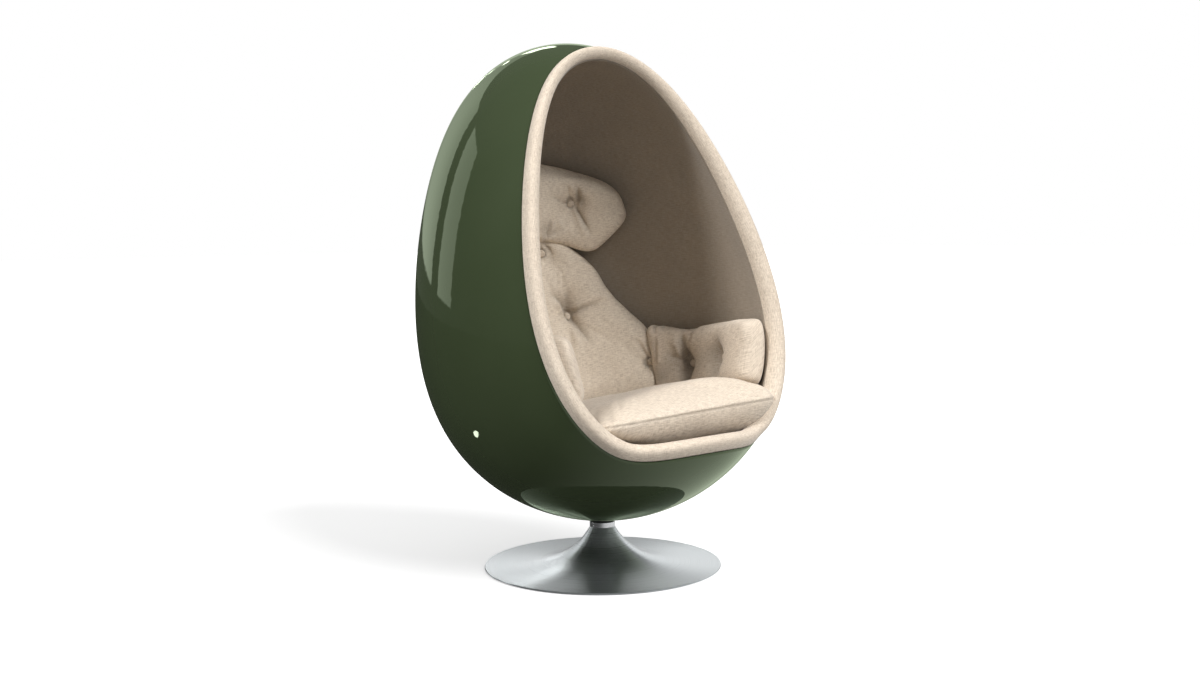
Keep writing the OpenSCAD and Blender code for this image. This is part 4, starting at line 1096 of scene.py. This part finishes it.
def pillowForm(angle, reach):
    rows, (rightSpread, leftSpread) = pillow["rows"], pillow["lowSpread"]
    rightLow = atCorner(angle, pillow["cornerDeg"] + 1, rightSpread)
    leftLow = atCorner(angle, -180 - pillow["cornerDeg"], leftSpread)
    flatness = 1 - pillow["lowShare"][0] * rightLow - pillow["lowShare"][1] * leftLow
    turn = np.linspace(0, 1, rows) * math.pi / 2
    rings = []
    for upper in (False, True):
        p, q = pillow["topPowers"] if upper else pillow["lowPowers"]
        out, lift = np.cos(turn) ** (2 / p), np.sin(turn) ** (2 / q)
        out[-1] = 0.0
        for k in (range(1, rows - 1) if upper else range(rows - 2, -1, -1)):
            rings.append(pillowRing(angle, reach, out[k], lift[k], upper, flatness))
    grid = np.array(rings)
    ends = [[0, seatMiddle, seatFloor(seatMiddle)], grid[-1].mean(0)]
    faces = ringFaces(len(grid), len(angle)) + capFaces(len(grid), len(angle))
    return outwards(meshObject("seatCushion", np.concatenate([grid.reshape(-1, 3), ends]), faces))


def buildSeat():
    angle = np.linspace(0, 2 * math.pi, pillow["columns"], endpoint=False)
    rightCorner = atCorner(angle, pillow["cornerDeg"], pillow["rightSpread"])
    leftCorner = atCorner(angle, -180 - pillow["cornerDeg"], pillow["cornerSpread"])
    reach = seatEdge(angle, pillow["seamLift"])
    reach = reach * (1 + pillow["rightOut"] * rightCorner + pillow["cornerOut"] * leftCorner)
    reach = np.where(np.sin(angle) > pillow["rearFrom"], reach - pillow["rearGap"], reach)
    obj = pillowForm(angle, reach)

    def seamOff(p):
        bearing = np.arctan2(p[:, 1] - seatMiddle, p[:, 0])
        edge = np.interp(bearing, np.r_[angle - 2 * math.pi, angle], np.r_[reach, reach])
        inside = edge - np.hypot(p[:, 0], p[:, 1] - seatMiddle)
        return p[:, 2] - seamHeight(p[:, 0], p[:, 1]), inside

    def heldShare(p):
        off, inside = seamOff(p)
        start, span = pillow["floorHold"]
        seam = np.exp(-(off / pillow["seamHoldWidth"]) ** 2) * (inside < pillow["seamReach"])
        low = 1 - ease((p[:, 2] - seatFloor(p[:, 1]) - start) / span)
        return np.maximum(pillow["seamHold"] * seam, low * (inside > pillow["seamReach"]))

    inflate(obj, heldShare, pillow["cap"])
    p, n = meshPoints(obj.data), meshNormals(obj.data)
    off, inside = seamOff(p)
    near = inside < pillow["seamNear"]
    groove = pillow["seamDepth"] * np.exp(-(off / pillow["seamWidth"]) ** 2)
    welt = pillow["weltHeight"] * np.exp(-((off - pillow["weltUp"]) / pillow["weltWidth"]) ** 2)
    top = ease(off / pillow["creaseOver"])
    folded, dark = foldDraw(p[:, :2], seatCreases)
    start, span = pillow["lumpInside"]
    uneven = lumps(p, pillow["lumpSize"], pillow["lumpHeight"], 3.0) * ease((inside - start) / span)
    setPoints(obj.data, p - n * (near * (groove - welt) + top * folded + uneven)[:, None])
    setClothMap(obj, np.stack([p[:, 0], p[:, 1] + p[:, 2]], -1))
    # painted shade: darker along the seam's groove, and on the front's lower face where it turns under
    seamPaintedShade = pillow["seamShadeTone"] * near * np.exp(-(off / pillow["seamShadeWidth"]) ** 2)
    start, span = pillow["underShadeSpan"]
    under = ease(-off / pillow["underShadeOver"]) * ease((start - p[:, 1]) / span)
    underPaintedShade = pillow["underShadeTone"] * under
    setPaintedShade(obj, np.maximum(np.maximum(top * dark, seamPaintedShade), underPaintedShade))
    return obj


seatPiece = finishPiece(buildSeat(), "beigeLinen", "beige_fabric", "seat_cushion")
print("seat cushion built")

# Thin pad under the seat cushion: the CAD pad's own outline with soft edges
padForm = {"voxel": 0.004, "smoothings": 12, "inset": 0.0006, "lumpSize": 0.05, "lumpHeight": 0.0008}


def buildDeckPad():
    obj = linkMesh("deckPad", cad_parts["deck_pad"].data.copy())
    bm = bmesh.new()
    bm.from_mesh(obj.data)
    bmesh.ops.remove_doubles(bm, verts=bm.verts, dist=1e-5)
    bm.to_mesh(obj.data)
    bm.free()
    even = obj.modifiers.new("even", "REMESH")
    even.mode = "VOXEL"
    even.voxel_size = padForm["voxel"]
    soften = obj.modifiers.new("soften", "CORRECTIVE_SMOOTH")
    soften.iterations = padForm["smoothings"]
    soften.use_only_smooth = True
    bakeModifiers(obj)
    p, n = meshPoints(obj.data), meshNormals(obj.data)
    uneven = lumps(p, padForm["lumpSize"], padForm["lumpHeight"])
    setPoints(obj.data, p - n * (padForm["inset"] + uneven)[:, None])
    setClothMap(obj, p[:, :2])
    return obj


# the deck pad takes the lining's darker linen, painted shade under the seat
deckPadPiece = finishPiece(buildDeckPad(), "shadedLiningLinen", "white_foam", "deck_pad")
print("deck pad built")

# Covered buttons, one form set on every sewn spot. The profile is in shares of the radius and height.
buttonSizes = {"radius": 0.0100, "height": 0.0085, "raise": 0.0012, "sides": 28, "nearby": 0.016,
               "leastDepth": 0.02,
               "profile": [(0.0, 1.0), (0.30, 0.985), (0.42, 0.93), (0.50, 0.95), (0.72, 0.90), (0.9, 0.72),
                           (1.0, 0.45), (0.96, 0.15), (0.8, 0.0), (0.0, -0.1)]}


# A domed disc with a rolled edge, standing on z = 0
def buttonForm():
    r, h, sides = buttonSizes["radius"], buttonSizes["height"], buttonSizes["sides"]
    profile = buttonSizes["profile"]
    angles = [2 * math.pi * k / sides for k in range(sides)]
    points = [(share * r * math.cos(a), share * r * math.sin(a), rise * h)
              for share, rise in profile[1:-1] for a in angles]
    points += [(0, 0, profile[0][1] * h), (0, 0, profile[-1][1] * h)]
    rings = len(profile) - 2
    return outwards(meshObject("buttonForm", points, ringFaces(rings, sides) + capFaces(rings, sides)))


# Sets a button on every point of a mesh, turned to the point's own direction
def buttonTree():
    tree = bpy.data.node_groups.new("sewnButtons", "GeometryNodeTree")
    sockets = tree.interface
    sockets.new_socket("Geometry", in_out="INPUT", socket_type="NodeSocketGeometry")
    sockets.new_socket("Button", in_out="INPUT", socket_type="NodeSocketObject")
    sockets.new_socket("Size", in_out="INPUT", socket_type="NodeSocketFloat").default_value = 1.0
    sockets.new_socket("Geometry", in_out="OUTPUT", socket_type="NodeSocketGeometry")
    start, end = tree.nodes.new("NodeGroupInput"), tree.nodes.new("NodeGroupOutput")
    info = node(tree, "GeometryNodeObjectInfo")
    facing = node(tree, "GeometryNodeInputNamedAttribute", {"Name": "facing"}, data_type="FLOAT_VECTOR")
    turn = node(tree, "FunctionNodeAlignRotationToVector", axis="Z")
    place = node(tree, "GeometryNodeInstanceOnPoints")
    real = node(tree, "GeometryNodeRealizeInstances")
    finish = node(tree, "GeometryNodeSetMaterial", {"Material": finishes["beigeLinen"]})
    links = [(start, "Button", info, "Object"), (start, "Geometry", place, "Points"),
             (info, "Geometry", place, "Instance"), (facing, "Attribute", turn, "Vector"),
             (turn, "Rotation", place, "Rotation"), (start, "Size", place, "Scale"),
             (place, "Instances", real, "Geometry"), (real, "Geometry", finish, "Geometry"),
             (finish, "Geometry", end, "Geometry")]
    for first, output, second, socket in links:
        tree.links.new(first.outputs[output], second.inputs[socket])
    return tree


# Where a button sits on the finished cushions, and which way it faces
def sewnSpot(aim, pieces):
    target = wallMap(aim[None])
    best = None
    for obj in pieces:
        p, n = meshPoints(obj.data), meshNormals(obj.data)
        wrong = (np.sign(p[:, 0]) != np.sign(aim[0])) * 1.0 + (wallDepth(p) < buttonSizes["leastDepth"])
        far = np.linalg.norm(wallMap(p) - target, axis=1) + 10 * wrong
        k = far.argmin()
        close = far < buttonSizes["nearby"]
        if best is None or far[k] < best[0]:
            best = (far[k], p[k], n[close].mean(0) if close.any() else n[k])
    way = best[2] / np.linalg.norm(best[2])
    return best[1] + way * buttonSizes["raise"], way


buttonShape, buttonNodes = buttonForm(), buttonTree()


def sewButtons(name, kind, pieces, cadNode):
    sides = (1, -1) if kind == "arm" else (1,)
    aims = [cushionSpot(kind, s, t, liningDepth + wallCushions["buttonDepth"]) * (side, 1, 1)
            for s, t, _ in tufts[kind] for side in sides]
    sewn = [sewnSpot(aim, pieces) for aim in aims]
    obj = meshObject(name, [spot for spot, _ in sewn], [])
    facing = obj.data.attributes.new("facing", "FLOAT_VECTOR", "POINT")
    facing.data.foreach_set("vector", np.array([way for _, way in sewn], dtype=np.float32).ravel())
    sewing = obj.modifiers.new("sewing", "NODES")
    sewing.node_group = buttonNodes
    ids = {item.name: item.identifier for item in buttonNodes.interface.items_tree if item.in_out == "INPUT"}
    sewing[ids["Button"]] = buttonShape
    sewing[ids["Size"]] = 1.0
    bakeModifiers(obj)
    p = meshPoints(obj.data)
    setClothMap(obj, np.stack([p[:, 0] + 0.3 * p[:, 1], p[:, 2]], -1))
    finishPiece(obj, "beigeLinen", "beige_fabric", cadNode)


sewButtons("backButtons", "back", [backCushion], "back_buttons")
sewButtons("headButtons", "head", [headCushion], "head_buttons")
sewButtons("armButtons", "arm", [leftArmCushion, rightArmCushion], "arm_buttons")
bpy.data.objects.remove(buttonShape)
print("buttons sewn on")

# CAD nodes that stay
nodeFinishes = {"brushedMetal": ["base_trumpet"], "brightMetal": ["neck_collar"],
                "steel": ["ballast_plate", "column_flange", "column_tube", "column_weld", "flange_screws",
                          "lower_race", "upper_race", "bearing_balls", "spindle", "retaining_ring",
                          "retaining_washer", "hub_plate", "hub_washers", "hub_bolts", "hub_nut",
                          "deck_screws"],
                "bronze": ["lower_bush", "upper_bush", "ball_cage"],
                "plywood": ["mounting_pad", "deck_bearers", "seat_deck"],
                "rubber": ["seat_gasket"], "felt": ["floor_felt"]}
for finish, names in nodeFinishes.items():
    for name in names:
        setFinish(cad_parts[name], finish)

# Studio. Suns: turn, rise, angular size, strength. In the sky, with turns in degrees from the panels'
# centre: panels (first and last turn, strength), glows (first and last turn) and spots (turn, rise, size,
# strength).
studio = {"floorHalf": 40.0, "floorTone": 0.9, "floorLift": 0.54, "floorBounce": 0.45,
          "shineWay": (0.746, -0.666), "floorShine": (-0.30, 0.42, 0.04, 0.95), "ambient": 0.45,
          "dimReflection": (0.10, 0.2), "panelCentreDeg": -170, "panelRise": (3.5, 35.3),
          "panelFade": (2.0, 40.0, 0.3), "glowRise": (4, 24), "glowSoft": (8.0, 2.5), "sunDistance": 6,
          "suns": {"frontSun": (10, 38, 34, 2.55), "sideSun": (-89, 47, 12, 2.3)},
          "panels": [(-2.0, 42.0, 1.1), (-25.5, -10.5, 1.25)],
          "glows": [(40.0, 190.0), (-190.0, -166.0)], "glowPower": 0.95,
          "spots": [(43.8, 29.5, 3.0, 6.0), (39.2, 13.7, 0.8, 14.0), (35.5, 26.4, 0.7, 12.0),
                    (37.0, 19.0, 0.6, 6.0)],
          "spotStretch": 1.3, "spotSoft": 0.2, "floorSpot": (-0.60, 0.456, 0.035, 12.0)}


def slope(tree, value, low, high, start=0.0, end=1.0):
    span = {"Value": value, "From Min": low, "From Max": high, "To Min": start, "To Max": end}
    return node(tree, "ShaderNodeMapRange", span, interpolation_type="SMOOTHSTEP").outputs[0]


# 1 between two angles in degrees, 0 outside them
def band(tree, value, low, high, soft=0.4):
    up = slope(tree, value, low - soft, low + soft)
    down = slope(tree, value, high - soft, high + soft, 1.0, 0.0)
    return mathNode(tree, "MULTIPLY", up, down)


def studioSun(name, turnDeg, riseDeg, angleDeg, strength):
    data = bpy.data.lights.new(name, "SUN")
    data.angle = math.radians(angleDeg)
    data.energy = strength
    sun = bpy.data.objects.new(name, data)
    scene.collection.objects.link(sun)
    turn, rise = math.radians(turnDeg), math.radians(riseDeg)
    way = np.array([math.sin(turn) * math.cos(rise), -math.cos(turn) * math.cos(rise), math.sin(rise)])
    side = np.cross((0, 0, 1.0), way)
    side /= np.linalg.norm(side)
    sun.matrix_world = axesMatrix(side, np.cross(way, side), way, way * studio["sunDistance"])
    sun.visible_glossy = False
    return sun


# What reflects the floor sees it shine on one side and at one spot; the rest sees a plain pale floor
def buildFloor():
    half = studio["floorHalf"]
    corners = [(-half, -half, 0), (half, -half, 0), (half, half, 0), (-half, half, 0)]
    floor = meshObject("studioFloor", corners, [(0, 1, 2, 3)])
    tone, bounced = ((*(studio[key],) * 3, 1.0) for key in ("floorTone", "floorBounce"))
    mat, tree, bsdf = material("studioFloor", {"Base Color": tone, "Roughness": 0.95,
                                               "Specular IOR Level": 0.0})
    place = objectPlace(tree)
    split = node(tree, "ShaderNodeSeparateXYZ", {0: place})
    across = mathNode(tree, "MULTIPLY", split.outputs[0], studio["shineWay"][0])
    across = mathNode(tree, "MULTIPLY_ADD", split.outputs[1], studio["shineWay"][1], across)
    x, y, size, power = studio["floorSpot"]
    off = vectorNode(tree, "DISTANCE", "Value", place, (x, y, 0))
    shine = mathNode(tree, "MAXIMUM", slope(tree, across, *studio["floorShine"]),
                     slope(tree, off, size * 0.8, size * 1.2, power, 0.0))
    white = (1, 1, 1, 1)
    lift = node(tree, "ShaderNodeEmission", {"Color": white, "Strength": studio["floorLift"]})
    lifted = node(tree, "ShaderNodeAddShader", {0: bsdf.outputs[0], 1: lift.outputs[0]})
    shining = node(tree, "ShaderNodeEmission", {"Color": white, "Strength": shine})
    bounce = node(tree, "ShaderNodeBsdfDiffuse", {"Color": bounced})
    path = node(tree, "ShaderNodeLightPath").outputs
    plain = mixShaders(tree, path["Is Camera Ray"], bounce, lifted)
    mix = mixShaders(tree, path["Is Glossy Ray"], plain, shining)
    tree.links.new(mix.outputs[0], outputNode(tree).inputs[0])
    floor.data.materials.append(mat)
    return floor


def buildWorld():
    world = bpy.data.worlds.new("studioWorld")
    scene.world = world
    world.use_nodes = True
    tree = world.node_tree
    back = next(n for n in tree.nodes if n.type == "BACKGROUND")
    back.inputs[0].default_value = (1, 1, 1, 1)
    way = node(tree, "ShaderNodeTexCoord").outputs["Generated"]
    split = node(tree, "ShaderNodeSeparateXYZ", {0: way})
    rise = mathNode(tree, "DEGREES", mathNode(tree, "ARCSINE", split.outputs[2]))
    centre = math.radians(studio["panelCentreDeg"])
    onAhead = vectorNode(tree, "DOT_PRODUCT", "Value", way, (math.sin(centre), -math.cos(centre), 0))
    onAside = vectorNode(tree, "DOT_PRODUCT", "Value", way, (-math.cos(centre), -math.sin(centre), 0))
    turn = mathNode(tree, "DEGREES", mathNode(tree, "ARCTAN2", onAside, onAhead))
    upright = band(tree, rise, *studio["panelRise"])
    fadeFrom, fadeTo, faded = studio["panelFade"]
    total = 0.0
    for low, high, power in studio["panels"]:
        panel = mathNode(tree, "MULTIPLY", band(tree, turn, low, high), upright)
        fade = slope(tree, turn, fadeFrom, fadeTo, power, power * faded)
        total = mathNode(tree, "MULTIPLY_ADD", panel, fade, total)
    turnSoft, riseSoft = studio["glowSoft"]
    glows = [band(tree, turn, low, high, turnSoft) for low, high in studio["glows"]]
    glow = mathNode(tree, "MAXIMUM", *glows)
    glow = mathNode(tree, "MULTIPLY", glow, band(tree, rise, *studio["glowRise"], riseSoft))
    total = mathNode(tree, "MULTIPLY_ADD", glow, studio["glowPower"], total)
    for side, height, size, power in studio["spots"]:
        reach, soft = size * studio["spotStretch"], size * studio["spotSoft"]
        spot = mathNode(tree, "MULTIPLY", band(tree, turn, side - reach, side + reach, soft),
                        band(tree, rise, height - size, height + size, soft))
        total = mathNode(tree, "MULTIPLY_ADD", spot, power, total)
    total = mathNode(tree, "ADD", total, slope(tree, rise, 0, 60, *studio["dimReflection"]))
    path = node(tree, "ShaderNodeLightPath").outputs
    seen = path["Is Glossy Ray"]
    notGlossy = mathNode(tree, "MULTIPLY_ADD", seen, -studio["ambient"], studio["ambient"])
    strength = mathNode(tree, "MULTIPLY_ADD", seen, total, notGlossy)
    strength = mathNode(tree, "MAXIMUM", strength, path["Is Camera Ray"])
    tree.links.new(strength, back.inputs[1])


studioFloor = buildFloor()
buildWorld()
suns = {name: studioSun(name, *values) for name, values in studio["suns"].items()}
# the side light leaves the floor out, so that only the front light throws a shadow there
offFloor = bpy.data.collections.new("offFloor")
offFloor.objects.link(studioFloor)
offFloor.collection_objects[0].light_linking.link_state = "EXCLUDE"
suns["sideSun"].light_linking.receiver_collection = offFloor
print("studio built")
